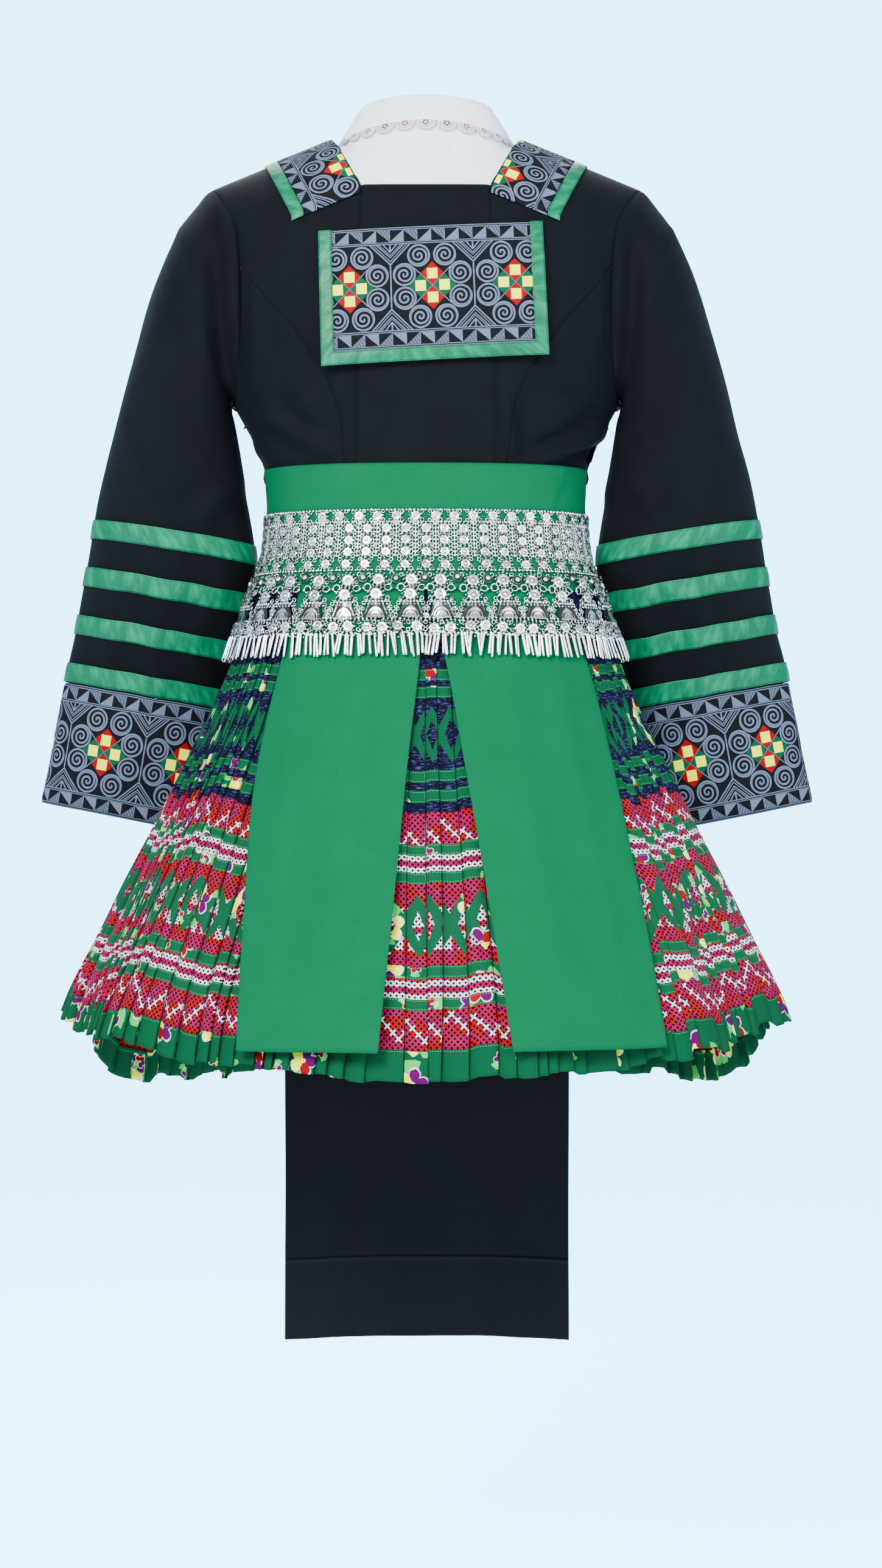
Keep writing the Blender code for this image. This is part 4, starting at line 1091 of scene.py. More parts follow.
# Distance from the middle of the body at which a medallion of each cuff lies
CUFF_MEDALLION = {"left": 0.297, "right": 0.3213}
SLEEVE_CREASES = {
    "left": [
        (0.190, -0.075, 0.178, -0.240, 0.0085, -0.0080, 0.002),
        (0.207, -0.085, 0.187, -0.262, 0.0095, 0.0038, 0.004),
        (0.240, -0.130, 0.228, -0.350, 0.0140, 0.0016, 0.006),
        (0.272, -0.200, 0.262, -0.350, 0.0130, 0.0014, 0.0),
        (0.175, -0.315, 0.206, -0.352, 0.0090, 0.0034, 0.002),
        (0.168, -0.300, 0.238, -0.345, 0.0100, -0.0018, 0.0),
        (0.180, -0.385, 0.225, -0.470, 0.0120, 0.0020, 0.0),
        (0.230, -0.360, 0.262, -0.560, 0.0150, 0.0016, 0.004),
        (0.290, -0.380, 0.300, -0.560, 0.0130, 0.0014, 0.0),
    ],
    "right": [
        (0.189, -0.080, 0.179, -0.238, 0.0080, -0.0066, 0.001),
        (0.205, -0.090, 0.190, -0.258, 0.0095, 0.0034, 0.003),
        (0.236, -0.120, 0.226, -0.330, 0.0150, 0.0018, 0.006),
        (0.270, -0.190, 0.255, -0.345, 0.0120, 0.0012, 0.0),
        (0.172, -0.305, 0.215, -0.350, 0.0090, 0.0030, 0.002),
        (0.175, -0.330, 0.245, -0.352, 0.0080, -0.0016, 0.0),
        (0.185, -0.380, 0.215, -0.480, 0.0120, 0.0022, 0.0),
        (0.240, -0.370, 0.255, -0.560, 0.0150, 0.0018, 0.004),
        (0.282, -0.400, 0.310, -0.580, 0.0130, 0.0012, 0.0),
    ],
}


def sleeve_rings(sections, turn, out=0.0):
    """Level rings of the left sleeve, from the outer edge over the front to the inner edge and back."""
    sections = np.asarray(sections, float)[:, None]
    get = lambda name: smooth(SLEEVE, name, sections)
    outer, inner = (stack(get(side + "_x"), 0.0, get(side + "_z")) for side in ("outer", "inner"))
    centre = (outer + inner) / 2 + stack(0.0, get("y"), 0.0)
    half = (outer - inner) / 2
    wide = np.linalg.norm(half, axis=-1, keepdims=True) + out
    deep = get("depth")[..., None] + out
    cosine, sine = np.cos(turn)[None, :, None], np.sin(turn)[None, :, None]
    return centre + unit(half) * wide * cosine + np.array((0.0, -1.0, 0.0)) * deep * sine


def sleeve_centre(section):
    return [float(smooth(SLEEVE, "outer_" + axis, section) + smooth(SLEEVE, "inner_" + axis, section)) / 2
            for axis in "xz"]


def section_at(height):
    low, high = 4.0, 9.0
    while high - low > 1e-5:
        middle = (low + high) / 2
        low, high = (middle, high) if sleeve_centre(middle)[1] > height else (low, middle)
    return low


def sleeve_relief(points, turn, side):
    x, _, z = np.moveaxis(points, -1, 0)
    behind = ramp(0.0, 0.5, -np.sin(turn))[None]
    lines = creases(x, z, SLEEVE_CREASES[side])
    front = creases(x, z, SLEEVE_CREASES["left" if side == "right" else "right"])
    ring = 0.0012 * waves(turn[None] * 0.05 + 0 * z, z, 0.06, 17 if side == "left" else 19)
    return (lines * behind + 0.8 * front * (1 - behind) + ring) * ramp(-0.052, -0.075, z)


def add_sleeve_piece(node, points, side, material, slot, on, extra, uv=None, margin=None, **more):
    """extra is what stands out besides the sleeve's own folds."""
    relief = extra + sleeve_relief(points, turn, side)
    if side == "right":
        points, relief = mirrored(points, relief)
        uv, margin = (values if values is None else values[:, ::-1] for values in (uv, margin))
    add_cloth(node, points, material, slot, uv=uv, relief=relief, margin=margin, closed=True, on=on, **more)


turn = circle(AROUND)
half = AROUND // 2
front_x, front_z = armhole_edge(np.degrees(turn[:half]), -1)
back_x, back_z = armhole_edge(360 - np.degrees(turn[half:]), 1)
armhole = np.concatenate([
    stack(front_x + ARMHOLE_GAP, -torso_depth(front_x, front_z, -1), front_z),
    stack(back_x + ARMHOLE_GAP, torso_depth(back_x, back_z, 1), back_z),
])
armhole[[0, half], 1] = 0.0
first = sleeve_rings([1.0], turn)
start = np.linspace(0, 1, 11)[:-1, None, None]
last = section_at(CUFF_TOP + SEAM_GAP)
sleeve = np.concatenate([lerp(armhole[None], first, start), sleeve_rings(np.linspace(1.0, last, 76), turn)])
cuff_top = section_at(CUFF_TOP)
cuff = sleeve_rings(np.linspace(cuff_top, 9.0, 28), turn)
around, down = arcs(rejoined(cuff), 1), arcs(rejoined(cuff), 0)
for side, seed in (("left", 50), ("right", 60)):
    add_sleeve_piece(f"sleeve_{side}", sleeve, side, suiting, "suiting", (f"jacket_back_mid_{side}",),
                     inner=lining, held="hung", extra=seam_roll(sleeve, "t", 0.0008, 0.003), allowance="t")
    column = half + int(np.argmin(np.abs(cuff[9, half:, 0] - CUFF_MEDALLION[side])))
    uv = np.stack([around - around[:, column:column + 1], (down / down[-1:] - 0.5) * CUFF_HEIGHT], -1)
    add_sleeve_piece(f"cuff_{side}", cuff, side, spiral_cloth, "spiral_cloth", (f"sleeve_{side}",), uv=uv,
                     inner=lining, held="hung", extra=seam_roll(cuff, "tb"))
    for i in range(4):
        top = RIBBON_TOP - RIBBON_PITCH * i
        sections = np.linspace(section_at(top), section_at(top - RIBBON_HEIGHT), RIBBON_ROWS)
        ribbon = sleeve_rings(sections, turn, RIBBON_OUT)
        share = np.linspace(0, 1, RIBBON_ROWS)[:, None] + np.zeros((1, AROUND))
        run = arcs(rejoined(ribbon), 1)
        uv = np.stack([run, rejoined(share) * RIBBON_HEIGHT], -1)
        add_sleeve_piece(f"sleeve_ribbon_{side}_{i + 1}", ribbon, side, satin, "satin_ribbon",
                         (f"sleeve_{side}",), uv=uv, wall=RIBBON_WALL, held="stretched",
                         extra=pucker(run[:, :-1], share, seed + i, 0.00065),
                         margin=np.minimum(share, 1 - share) * RIBBON_HEIGHT)
print("sleeves, cuffs and ribbons, flat mm:", SHEETS[-12:])

# %% [markdown]
# ## Collar, yoke and lace
# The blouse that would be worn under the jacket shows only at the neck. Its collar is one conical band of
# white cotton with a fold at the top, the yoke below it is white satin that sags in soft folds, and a
# scalloped lace trim covers the seam between them. The lace is a sheet whose eyelets are cut away by the
# material.

# %% Collar, yoke and lace
FOOT_HALF, TOP_HALF, COLLAR_HEIGHT, YOKE_INSET = 0.0810, 0.0600, 0.036, 0.00245
SCALLOPS, LACE_REACH, SCALLOP, LACE_OUT, LACE_DEPTH = 11, 74, 0.019, 0.0030, 0.0120
YOKE_FOLDS = [
    (0.018, -0.010, -0.001, -0.040, 0.0040, 0.0013, 0.003),
    (0.026, -0.010, 0.020, -0.030, 0.0030, 0.0008, 0.0),
    (-0.021, -0.008, -0.015, -0.050, 0.0030, 0.0016, 0.0),
    (-0.027, -0.008, -0.024, -0.055, 0.0032, -0.0012, 0.0),
    (-0.041, -0.010, -0.039, -0.038, 0.0032, 0.0009, 0.0),
    (0.045, -0.012, 0.036, -0.034, 0.0034, 0.0008, 0.002),
]
YOKE_VISIBLE = 0.7
YOKE = table(
    "turn edge_x edge_below under_x under_below",
    (0, 0.0000, 0.0680, 0.0000, 0.0820), (20, 0.0290, 0.0680, 0.0310, 0.0820),
    (40, 0.0560, 0.0680, 0.0640, 0.0800), (58, 0.0660, 0.0430, 0.0760, 0.0500),
    (74, 0.0750, 0.0220, 0.0870, 0.0250), (90, 0.0845, 0.0000, 0.0975, 0.0000),
    (105, 0.0725, -0.0300, 0.0870, -0.0320), (120, 0.0587, -0.0650, 0.0730, -0.0670),
    (135, 0.0447, -0.1000, 0.0590, -0.1030), (150, 0.0290, -0.1400, 0.0430, -0.1440),
    (165, 0.0135, -0.1800, 0.0270, -0.1860), (180, 0.0000, -0.2120, 0.0000, -0.2320),
)


def collar_points(turn, top, out=0.0):
    angle = np.radians(turn)
    tip = np.cos(angle)
    behind = tip > 0
    width = lerp(FOOT_HALF, TOP_HALF, top) + out
    depth = np.where(behind, lerp(0.0660, 0.0520, top), lerp(0.0700, 0.0560, top)) + out
    curve = tip * np.abs(tip)
    foot, edge = np.where(behind, 0.0130, 0.0300), np.where(behind, 0.0030, 0.0260)
    return stack(width * np.sin(angle), depth * tip, lerp(-0.0035 + foot * curve, 0.0310 + edge * curve, top))


def yoke_foot(turn):
    """Where yoke and lace start, inside the lower edge of the collar."""
    return collar_points(turn, 0 * turn, -0.0018) + (0, 0, -0.0020)


def yoke_line(name, turn):
    """The line of the yoke at the jacket's neckline, or its hidden edge under the jacket."""
    x, below = smooth(YOKE, name + "_x", turn), smooth(YOKE, name + "_below", turn)
    return on_torso(x, below, -YOKE_INSET + 0 * turn)


def make_star_lace():
    """A scallop is a fan of short bars round a solid middle with a small sewn star, and a rim of picots."""
    material, shader, x, y = new_material("white lace", 0.78, sheen=0.3)
    pitch = SCALLOP * 1000
    a = ((x / pitch).fract() - 0.5) * pitch
    b = y - 2.6
    reach = (a * a * 0.86 + b * b).math("SQRT")
    turn = b.math("ARCTAN2", a) / math.pi
    bars = abs((turn * 11.0).fract() - 0.5)
    hole = bars.below(0.24, 0.10) * reach.between(4.3, 6.2, 0.25)
    picots = abs((turn * 15.0).fract() - 0.5)
    hole = hole.most(reach.above(7.9 + picots * 2.4, 0.2) * y.above(1.6, 0.3))
    hole = hole.most(picots.below(0.15, 0.08) * reach.between(7.3, 8.0, 0.2))
    mesh = folded(x, 1.9).least(folded(y, 1.9)).above(0.40, 0.15)
    hole = hole.most(mesh * reach.above(7.2, 0.2) * y.below(2.2, 0.2) * 0.9)
    (1.0 - hole).to(shader.inputs["Alpha"])
    away = (a * a + (y - 2.9) * (y - 2.9)).math("SQRT")
    point = abs((((y - 2.9).math("ARCTAN2", a) / math.tau + 1.05) * 5.0).fract() - 0.5)
    star = (away - (0.5 - point) * 2.8).between(0.8, 2.3, 0.25)
    number = ((x / pitch).floor() / 3.0 + 20.17).fract()
    tone = blend(number.above(0.33, 0.01), srgb(150, 0, 34), srgb(26, 6, 66))
    tone = blend(number.above(0.66, 0.01), tone, srgb(0, 84, 50))
    # Painted shade: the thread pattern is blue-grey in its grooves and white on the raised threads.
    thread = (reach * 7.0).sin() * (turn * 90.0).sin() * 0.5 + 0.5
    colour = blend(thread, srgb(196, 206, 226), srgb(248, 250, 253))
    shade = reach.between(6.3, 7.1, 0.3).most(reach.below(4.0, 0.4))
    set_colour(shader, blend(star, colour, tone))
    set_bump(shader, thread * 0.4 + shade * 0.6 + star * 0.5 - hole * 0.8, 0.0007, 1.0)
    return material


degrees = np.linspace(0, 360, 180, endpoint=False)[None]
top = np.linspace(1, 0, 25)[:, None]
relief = 0.0007 * waves(np.radians(degrees) * 0.07 + 0 * top, top * 0.04 + 0 * degrees, 0.05, 61)
collar = collar_points(degrees, top + 0 * degrees)
fold = 0.0007 * np.exp(-(((1 - top) * COLLAR_HEIGHT / 0.0012) ** 2))
relief = relief * np.sin(math.pi * np.clip(top, 0.02, 0.98)) - fold
add_cloth("inner_collar", collar, white_cotton, "white_cotton", relief=relief, closed=True, held="stretched",
          on=("inner_yoke",), allowance="b")

level = np.linspace(0, 1, 22)[:, None]
from_back = np.abs((degrees + 180) % 360 - 180)
edge = yoke_line("edge", from_back)
shown = np.minimum(level / YOKE_VISIBLE, 1)[..., None]
hidden = np.clip((level - YOKE_VISIBLE) / 0.3, 0, 1)[..., None]
rows = np.where(shown < 1, lerp(yoke_foot(from_back), edge, shown),
                lerp(edge, yoke_line("under", from_back), hidden))
rows = rows * stack(np.where(degrees <= 180, 1.0, -1.0), 1.0, 1.0)
free = np.sin(math.pi * shown[..., 0])
sag = 0.0014 * free * (waves(rows[..., 0], rows[..., 2], 0.035, 63) - 0.6)
sag += free * (rows[..., 1] > 0) * creases(rows[..., 0], rows[..., 2], YOKE_FOLDS)
add_cloth("inner_yoke", rows, white_satin, "white_satin", relief=sag, closed=True, held="laid",
          flat=(0.25, 0.34), on=("jacket_back_mid_left",))

phase = np.linspace(0, SCALLOPS, SCALLOPS * 14 + 1)
angle = lerp(-LACE_REACH, LACE_REACH, phase / SCALLOPS)
t = np.abs(angle)
foot = yoke_foot(t)
span = yoke_line("edge", t) - foot
length = np.linalg.norm(span, axis=-1)
wave = np.abs(np.sin(math.pi * phase)) ** 0.6
fall = np.minimum(LACE_DEPTH, length * 0.8) * lerp(0.70, 1.0, wave)
lift = unit(foot * (0.6, 1.0, 0.0) + (0, 0, 0.06)) * LACE_OUT
share = np.linspace(0, 1, 12)[:, None]
lace = foot + unit(span) * lerp(0.0016, fall, share)[..., None] + lift
lace = lace * stack(np.where(angle < 0, -1.0, 1.0), 1.0, 1.0)
uv = np.stack([phase * SCALLOP + 0 * share, np.maximum(fall, 0.008) * share], -1)
add_cloth("collar_lace", lace, make_star_lace(), "white_lace", uv=uv, wall=0.0004, held="gathered",
          relief=0.0003 * np.sin(phase * math.tau)[None] * share, on=("inner_yoke",))
print("collar, yoke and lace, flat mm:", SHEETS[-3:])

# %% [markdown]
# ## The form below the waist
# Sash, belt and skirt lie on one form that grows from the waist to the hem. Uneven flutes widen it towards
# the hem, because a wide pleated skirt never falls as a plain cone.

# %% Form below the waist
LOWER = table(
    "height width back front roundness flute",
    (-0.900, 0.346, 0.312, 0.285, 2.0, 1.00), (-0.790, 0.322, 0.262, 0.247, 2.0, 0.92),
    (-0.700, 0.281, 0.219, 0.211, 2.0, 0.70), (-0.610, 0.238, 0.180, 0.177, 2.0, 0.42),
    (-0.540, 0.205, 0.151, 0.150, 2.0, 0.20), (-0.470, 0.1750, 0.1235, 0.1275, 2.1, 0.05),
    (-0.420, 0.1590, 0.1065, 0.1130, 2.3, 0.0), (-0.375, 0.1450, 0.0920, 0.1000, 2.4, 0.0),
    (-0.340, 0.1430, 0.0900, 0.0990, 2.4, 0.0), (-0.303, 0.1472, 0.0930, 0.1060, 2.4, 0.0),
    (-0.280, 0.1560, 0.0970, 0.1160, 2.4, 0.0),
)
# Turn from the centre back and spread in degrees, and height as a share of the radius
FLUTES = (
    (-171, 12, 0.050), (-139, 13, 0.064), (-108, 11, 0.058), (-77, 12, 0.072), (-44, 11, 0.074),
    (-16, 9, 0.046), (19, 10, 0.050), (56, 12, 0.078), (87, 11, 0.070), (118, 13, 0.062), (150, 11, 0.054),
)
HIGHEST_FLUTE = max(height for _, _, height in FLUTES)
SASH_TOP, SASH_BOTTOM, WAISTBAND_TOP, SKIRT_TOP = -0.303, -0.416, -0.338, -0.375
BELT_TOP, BELT_BOTTOM = -0.344, -0.400
WAISTBAND_OUT, SASH_TOP_OUT, SASH_OUT, TAIL_OUT, BELT_OUT = 0.00175, 0.0022, 0.0037, 0.0041, 0.0056
HEM_BACK, HEM_SIDE, HEM_FRONT, HEM_LIFT = -0.835, -0.803, -0.874, 0.10


def flute(turn):
    total = -0.5 * HIGHEST_FLUTE
    for angle, spread, height in FLUTES:
        total = total + height * np.exp(-((((turn - angle + 180) % 360 - 180) / spread) ** 2))
    return total


def on_lower(turn, height, out=0.0):
    """Points of the form at turns in degrees from the centre back, moved out level with the floor."""
    sine, cosine = np.sin(np.radians(turn)), np.cos(np.radians(turn))
    exponent = 2 / smooth(LOWER, "roundness", height)
    width = smooth(LOWER, "width", height)
    depth = np.where(cosine > 0, smooth(LOWER, "back", height), smooth(LOWER, "front", height))
    swell = 1 + flute(turn) * smooth(LOWER, "flute", height)
    point = stack(width * power(sine, exponent) * swell, depth * power(cosine, exponent) * swell, height)
    return point + unit(stack(sine / width, cosine / depth, 0.0)) * np.asarray(out + 0 * sine)[..., None]


def lower_depth(x, height, face, out):
    """How far the crests of the form stand behind or in front at one x."""
    crest = 1 + 0.5 * HIGHEST_FLUTE * smooth(LOWER, "flute", height)
    exponent = smooth(LOWER, "roundness", height)
    width = smooth(LOWER, "width", height) * crest + out
    depth = smooth(LOWER, "back" if face > 0 else "front", height) * crest + out
    return face * depth * (1 - np.minimum(np.abs(x) / width, 1.0) ** exponent) ** (1 / exponent)


def hem_height(turn):
    tip = np.cos(np.radians(turn))
    behind = lerp(HEM_SIDE, HEM_BACK, tip * tip)
    front = lerp(HEM_SIDE, HEM_FRONT, ramp(0, 0.42, -tip - 0.15))
    return np.where(tip > 0, behind, front) + HEM_LIFT * flute(turn)


waist = arcs(on_lower(np.linspace(0, 360, 361)[None], -0.36), 1)[0, -1]
print("waist round:", round(float(waist), 3), "m")

# %% [markdown]
# ## The pleated skirt
# The real skirt is many metres of cloth set in narrow knife pleats, which are pressed and tied before it is
# worn. Each pleat here is one face that lies outside, a fold under its neighbour's edge, and the cloth that
# is hidden between. A pleat's printed face keeps its true scale from waist to hem, because only the hidden
# part gets wider or narrower. Pleats differ in width and hang a few millimetres higher or lower than their
# neighbours, so the bands step.

# %% Skirt
PLEATS = 118
# Seams as shares of the skirt's length, and that length in metres of cloth
TIER_SEAM, HEM_BAND_SEAM, TIER_GAP, CLOTH_LENGTH = 0.515, 0.944, 0.0016, 0.4594
chance = np.random.default_rng(5)
width_of = chance.uniform(0.55, 1.55, PLEATS)
width_of[chance.integers(0, PLEATS, 16)] *= 1.5
start_of = np.concatenate([[0], np.cumsum(width_of)]) / width_of.sum()
width_of = np.diff(start_of)
drop_of = chance.normal(0, 0.0026, PLEATS)
drop_of -= drop_of.mean()
lean_of = chance.uniform(-0.25, 0.35, PLEATS)
print_of = np.cumsum(chance.uniform(0.033, 0.055, PLEATS))
# One pleat, as shares of its width and depth. The last two points are the cloth hidden between two pleats.
FOLD = np.array([
    (0.00, 0.00), (0.05, 0.10), (0.35, 0.10), (0.70, -0.15), (0.98, -0.55), (1.12, -1.0), (1.03, -0.72),
])


def skirt_grid(levels):
    """Points and map of the pleated cloth at levels from 0, the waist, to 1, the hem."""
    level = np.asarray(levels)[:, None, None]
    share, depth = FOLD[:, 0][None, None], FOLD[:, 1][None, None]
    start, width = start_of[:-1][None, :, None], width_of[None, :, None]
    wander = 0.0016 * np.sin(level * 5.0 + 40 * start) * level
    turn = 360 * (start + width * share + wander)
    following = np.roll(drop_of, -1)[None, :, None]
    drop = lerp(drop_of[None, :, None], following, ramp(0.75, 1.1, share)) * ramp(0.02, 0.6, level)
    height = lerp(SKIRT_TOP - SEAM_GAP, hem_height(turn), level) + drop
    size = lerp(0.0020, 0.0064, level) * lerp(0.75, 1.25, (width * PLEATS) / 2)
    ripple = 0.0007 * np.sin(level * 23 + 70 * start) * level
    lean = 1 + lean_of[None, :, None] * (share - 0.4)
    out = np.minimum(depth * lean * size + ripple * (depth > -0.6), 0.0011)
    points = on_lower(turn, height, out)
    around = on_lower(360 * start_of[None], lerp(SKIRT_TOP, hem_height(360 * start_of[None]), level[:, :, 0]))
    local = np.linalg.norm(np.diff(around, axis=1), axis=-1)[..., None]
    u = print_of[None, :, None] + share * local
    u = np.where(share >= 1.02, (print_of + 0.05)[None, :, None] + 0 * local, u)
    v = level * CLOTH_LENGTH + 0 * u
    shape = (len(levels), PLEATS * len(FOLD))
    uv = np.stack([u, v], -1).reshape(*shape, 2)
    return points.reshape(*shape, 3), rejoined(uv)


def add_tier(node, levels, material, slot, on):
    points, uv = skirt_grid(levels)
    add_cloth(node, points, material, slot, uv=uv, wall=0.0005, closed=True, held="gathered", on=on,
              allowance="t")


heights = np.linspace(WAISTBAND_TOP, SKIRT_TOP, 8)[:, None]
band = on_lower(np.linspace(0, 360, 120, endpoint=False)[None], heights, WAISTBAND_OUT)
add_cloth("skirt_waistband", band, indigo, "indigo_cloth", closed=True, held="stretched",
          on=("jacket_back_centre",))
add_tier("skirt_indigo_tier", np.linspace(0, TIER_SEAM, 24), indigo, "indigo_cloth", ("skirt_waistband",))
add_tier("skirt_stitched_tier", np.linspace(TIER_SEAM + TIER_GAP, HEM_BAND_SEAM, 28), stitched,
         "cross_stitch", ("skirt_indigo_tier",))
add_tier("skirt_hem_band", np.linspace(HEM_BAND_SEAM + TIER_GAP, 1.0, 6), floral,
         "flowered_cotton", ("skirt_stitched_tier",))
print("skirt, flat mm:", SHEETS[-4:])

# %% [markdown]
# ## Sash and tails
# The sash is a long strip of plain green cloth, wrapped over the waistband and knotted in front. Its two
# tails hang over the back of the skirt, smooth and flat, with the faint creases that folding for storage
# leaves.

# %% Sash and tails
TAILS = {
    "left": table(
        "height near far",
        (-0.813, 0.0388, 0.1590), (-0.700, 0.0275, 0.1560), (-0.565, 0.0145, 0.1470),
        (-0.475, 0.0045, 0.1275), (-0.4165, 0.0010, 0.1130),
    ),
    "right": table(
        "height near far",
        (-0.812, 0.0740, 0.2060), (-0.700, 0.0560, 0.1890), (-0.565, 0.0330, 0.1640),
        (-0.475, 0.0165, 0.1430), (-0.4165, 0.0010, 0.1230),
    ),
}
TAIL_CREASES = {
    "left": [
        (0.02, -0.56, 0.16, -0.566, 0.0018, 0.0007, 0.0), (0.03, -0.690, 0.16, -0.684, 0.0018, 0.0006, 0.0),
        (0.06, -0.45, 0.085, -0.79, 0.0100, 0.0012, 0.004),
        (0.12, -0.46, 0.135, -0.78, 0.0090, 0.0010, -0.003),
    ],
    "right": [
        (-0.02, -0.60, -0.19, -0.606, 0.0018, 0.0006, 0.0),
        (-0.05, -0.72, -0.20, -0.712, 0.0018, 0.0006, 0.0),
        (-0.07, -0.45, -0.12, -0.78, 0.0110, 0.0013, 0.004),
        (-0.11, -0.46, -0.17, -0.77, 0.0090, 0.0010, 0.0),
    ],
}
degrees = np.linspace(0, 360, 240, endpoint=False)[None]
heights = along([SASH_TOP, -0.322, BELT_TOP, SKIRT_TOP, BELT_BOTTOM, SASH_BOTTOM], 5)[:, None]
out = np.interp(heights, [-0.322, SASH_TOP], [SASH_OUT, SASH_TOP_OUT])
points = on_lower(degrees, heights + 0 * degrees, out)
wrap = 0.0008 * waves(degrees / 60, heights * 9, 1.3, 71) * ramp(-0.343, -0.335, heights)
fold = 0.0006 * np.tanh((degrees - 306 + (heights + 0.32) * 250) / 1.2) * ramp(-0.350, -0.335, heights)
add_cloth("sash", points, sash_cloth, "sash_cloth", closed=True, held="stretched",
          relief=wrap + fold - 0.0004 * (heights > SASH_TOP - 0.001),
          on=("jacket_back_centre", "skirt_waistband"))
for side, sign in (("left", 1), ("right", -1)):
    heights = np.linspace(SASH_BOTTOM - SEAM_GAP, TAILS[side]["height"][0], 64)[:, None]
    t = seam_spaced(48)[None]
    x = lerp(smooth(TAILS[side], "near", heights), smooth(TAILS[side], "far", heights), t) * sign
    points = stack(x, lower_depth(x, heights, 1, TAIL_OUT), heights)
    points = points if sign > 0 else points[:, ::-1]
    x, _, z = np.moveaxis(points, -1, 0)
    relief = creases(x, z, TAIL_CREASES[side])
    relief += 0.0022 * (waves(x, z, 0.13, 80 + sign) + 0.35) * ramp(-0.43, -0.56, z)
    relief += 0.0008 * waves(x * 3, z, 0.05, 90 + sign) * ramp(-0.60, -0.80, z)
    add_cloth(f"sash_tail_{side}", points, sash_cloth, "sash_cloth", held="hung", on=("sash",),
              relief=np.maximum(relief, -0.0014) + seam_roll(points, "lrb", 0.0005, 0.0012))
print("sash and tails, flat mm:", SHEETS[-3:])

# %% [markdown]
# ## The apron
# A long plain panel of black suiting hangs in front, from the sash to well below the hem, with a deep hem
# of its own.

# %% Apron
APRON_HALF_TOP, APRON_HALF, APRON_SEAM, APRON_BOTTOM, APRON_FREE = 0.118, 0.1425, -1.066, -1.145, -0.860


APRON_CREASES = [
    (-0.14, -0.74, 0.14, -0.744, 0.0018, 0.0006, 0.0), (0.0, -0.45, 0.01, -1.14, 0.02, 0.002, 0),
]


def apron_grid(heights):
    heights = heights[:, None]
    half = lerp(APRON_HALF_TOP, APRON_HALF, np.clip((SASH_BOTTOM - heights) / 0.30, 0, 1))
    x = half * (1 - 2 * seam_spaced(56)[None])
    return stack(x, lower_depth(x, np.maximum(heights, APRON_FREE), -1, TAIL_OUT), heights)


def apron_relief(points):
    x, _, z = np.moveaxis(points, -1, 0)
    free = ramp(-0.45, -0.62, z)
    folds = 0.0040 * (np.sin(x * 52 + 0.9 + 2 * z) * 0.5 + waves(x * 2, z * 0.4, 0.11, 95)) * free
    deepest = -0.0015 * ramp(-0.88, -0.80, z) - 0.008 * ramp(-0.80, -0.88, z)
    return np.maximum(folds + creases(x, z, APRON_CREASES), deepest)


points = apron_grid(np.linspace(SASH_BOTTOM - SEAM_GAP, APRON_SEAM, 74))
add_cloth("apron", points, suiting, "suiting", inner=lining, held="hung", on=("sash",),
          relief=apron_relief(points) + seam_roll(points, "lrb", 0.0005, 0.0014))
points = apron_grid(np.linspace(APRON_SEAM - SEAM_GAP, APRON_BOTTOM, 30))
add_cloth("apron_hem_band", points, suiting, "suiting", inner=lining, held="hung", on=("apron",),
          relief=apron_relief(points) + seam_roll(points, "lrtb", 0.0005, 0.0014), allowance="t")
print("apron, flat mm:", SHEETS[-2:])

# %% [markdown]
# ## The silver belt
# The belt is a net of small cast flowers with beaded rims, joined by jump rings, so the green sash shows
# between them. Below it hang larger flowers and ball studs, bell-shaped plates with an embossed arch, one
# more row of flowers and a fringe of thin tubes. Each kind of link is drawn once as points in its own small
# frame, and then set down many times on the form, with small turns and tilts, because links that hang loose
# never line up.

# %% Belt helpers
def make_silver():
    material, shader, x, y = new_material("silver", 0.16, metallic=0.95, specular=0.8)
    grain = noise(x, y, 2.2, 3.0, 5.0)
    wear = noise(x, y, 31.0, 2.0, 9.0).below(0.47, 0.16)
    colour = blend(grain.below(0.34, 0.12) * 0.8, srgb(255, 255, 255), srgb(120, 122, 130))
    # Painted shade: links picked at random are painted darker grey, as links that hang in shadow. A broad noise
    # darkens some of them a little more.
    tone = dice(((x + 18.5) / 37.0).floor(), x * 0.0, 3.0).below(0.30, 0.2)
    colour = blend(tone * 0.30 + wear * 0.10, colour, srgb(110, 112, 120))
    # Painted shade: the low parts of each link, away from its top, are painted near black.
    high, _ = read_map(x.tree, "High")
    colour = blend(high.below(0.45, 0.14) * 0.92, colour, srgb(22, 24, 30))
    # Painted reflection: small dark specks stand for dark surroundings reflected in the curved beads.
    painted_dark_reflection = noise(x, y, 0.75, 2.0, 14.0)
    set_colour(shader, blend(painted_dark_reflection.below(0.38, 0.08) * 0.80, colour, srgb(40, 42, 50)))
    (0.13 + grain * 0.15).to(shader.inputs["Roughness"])
    set_bump(shader, grain, 0.00025, 0.8)
    return material


silver = make_silver()
sway = np.random.default_rng(23)
RING_TURNS = np.linspace(0, 360, 721)


def belt_frames(places, height, out, drop=0.0):
    """Middle, and directions across, up and outwards, at places round the belt from 0 to 1."""
    height = np.broadcast_to(height + drop, np.shape(places)).astype(float)
    length = arcs(on_lower(RING_TURNS[None], float(np.mean(height)), out), 1)[0]
    turn = np.interp(np.mod(places, 1.0) * length[-1], length, RING_TURNS)
    middle = on_lower(turn, height, out)
    across = unit(on_lower(turn + 0.5, height, out) - on_lower(turn - 0.5, height, out))
    up = unit(on_lower(turn, height + 0.004, out) - on_lower(turn, height - 0.004, out))
    return middle, np.stack([across, up, unit(np.cross(up, across))], -2)


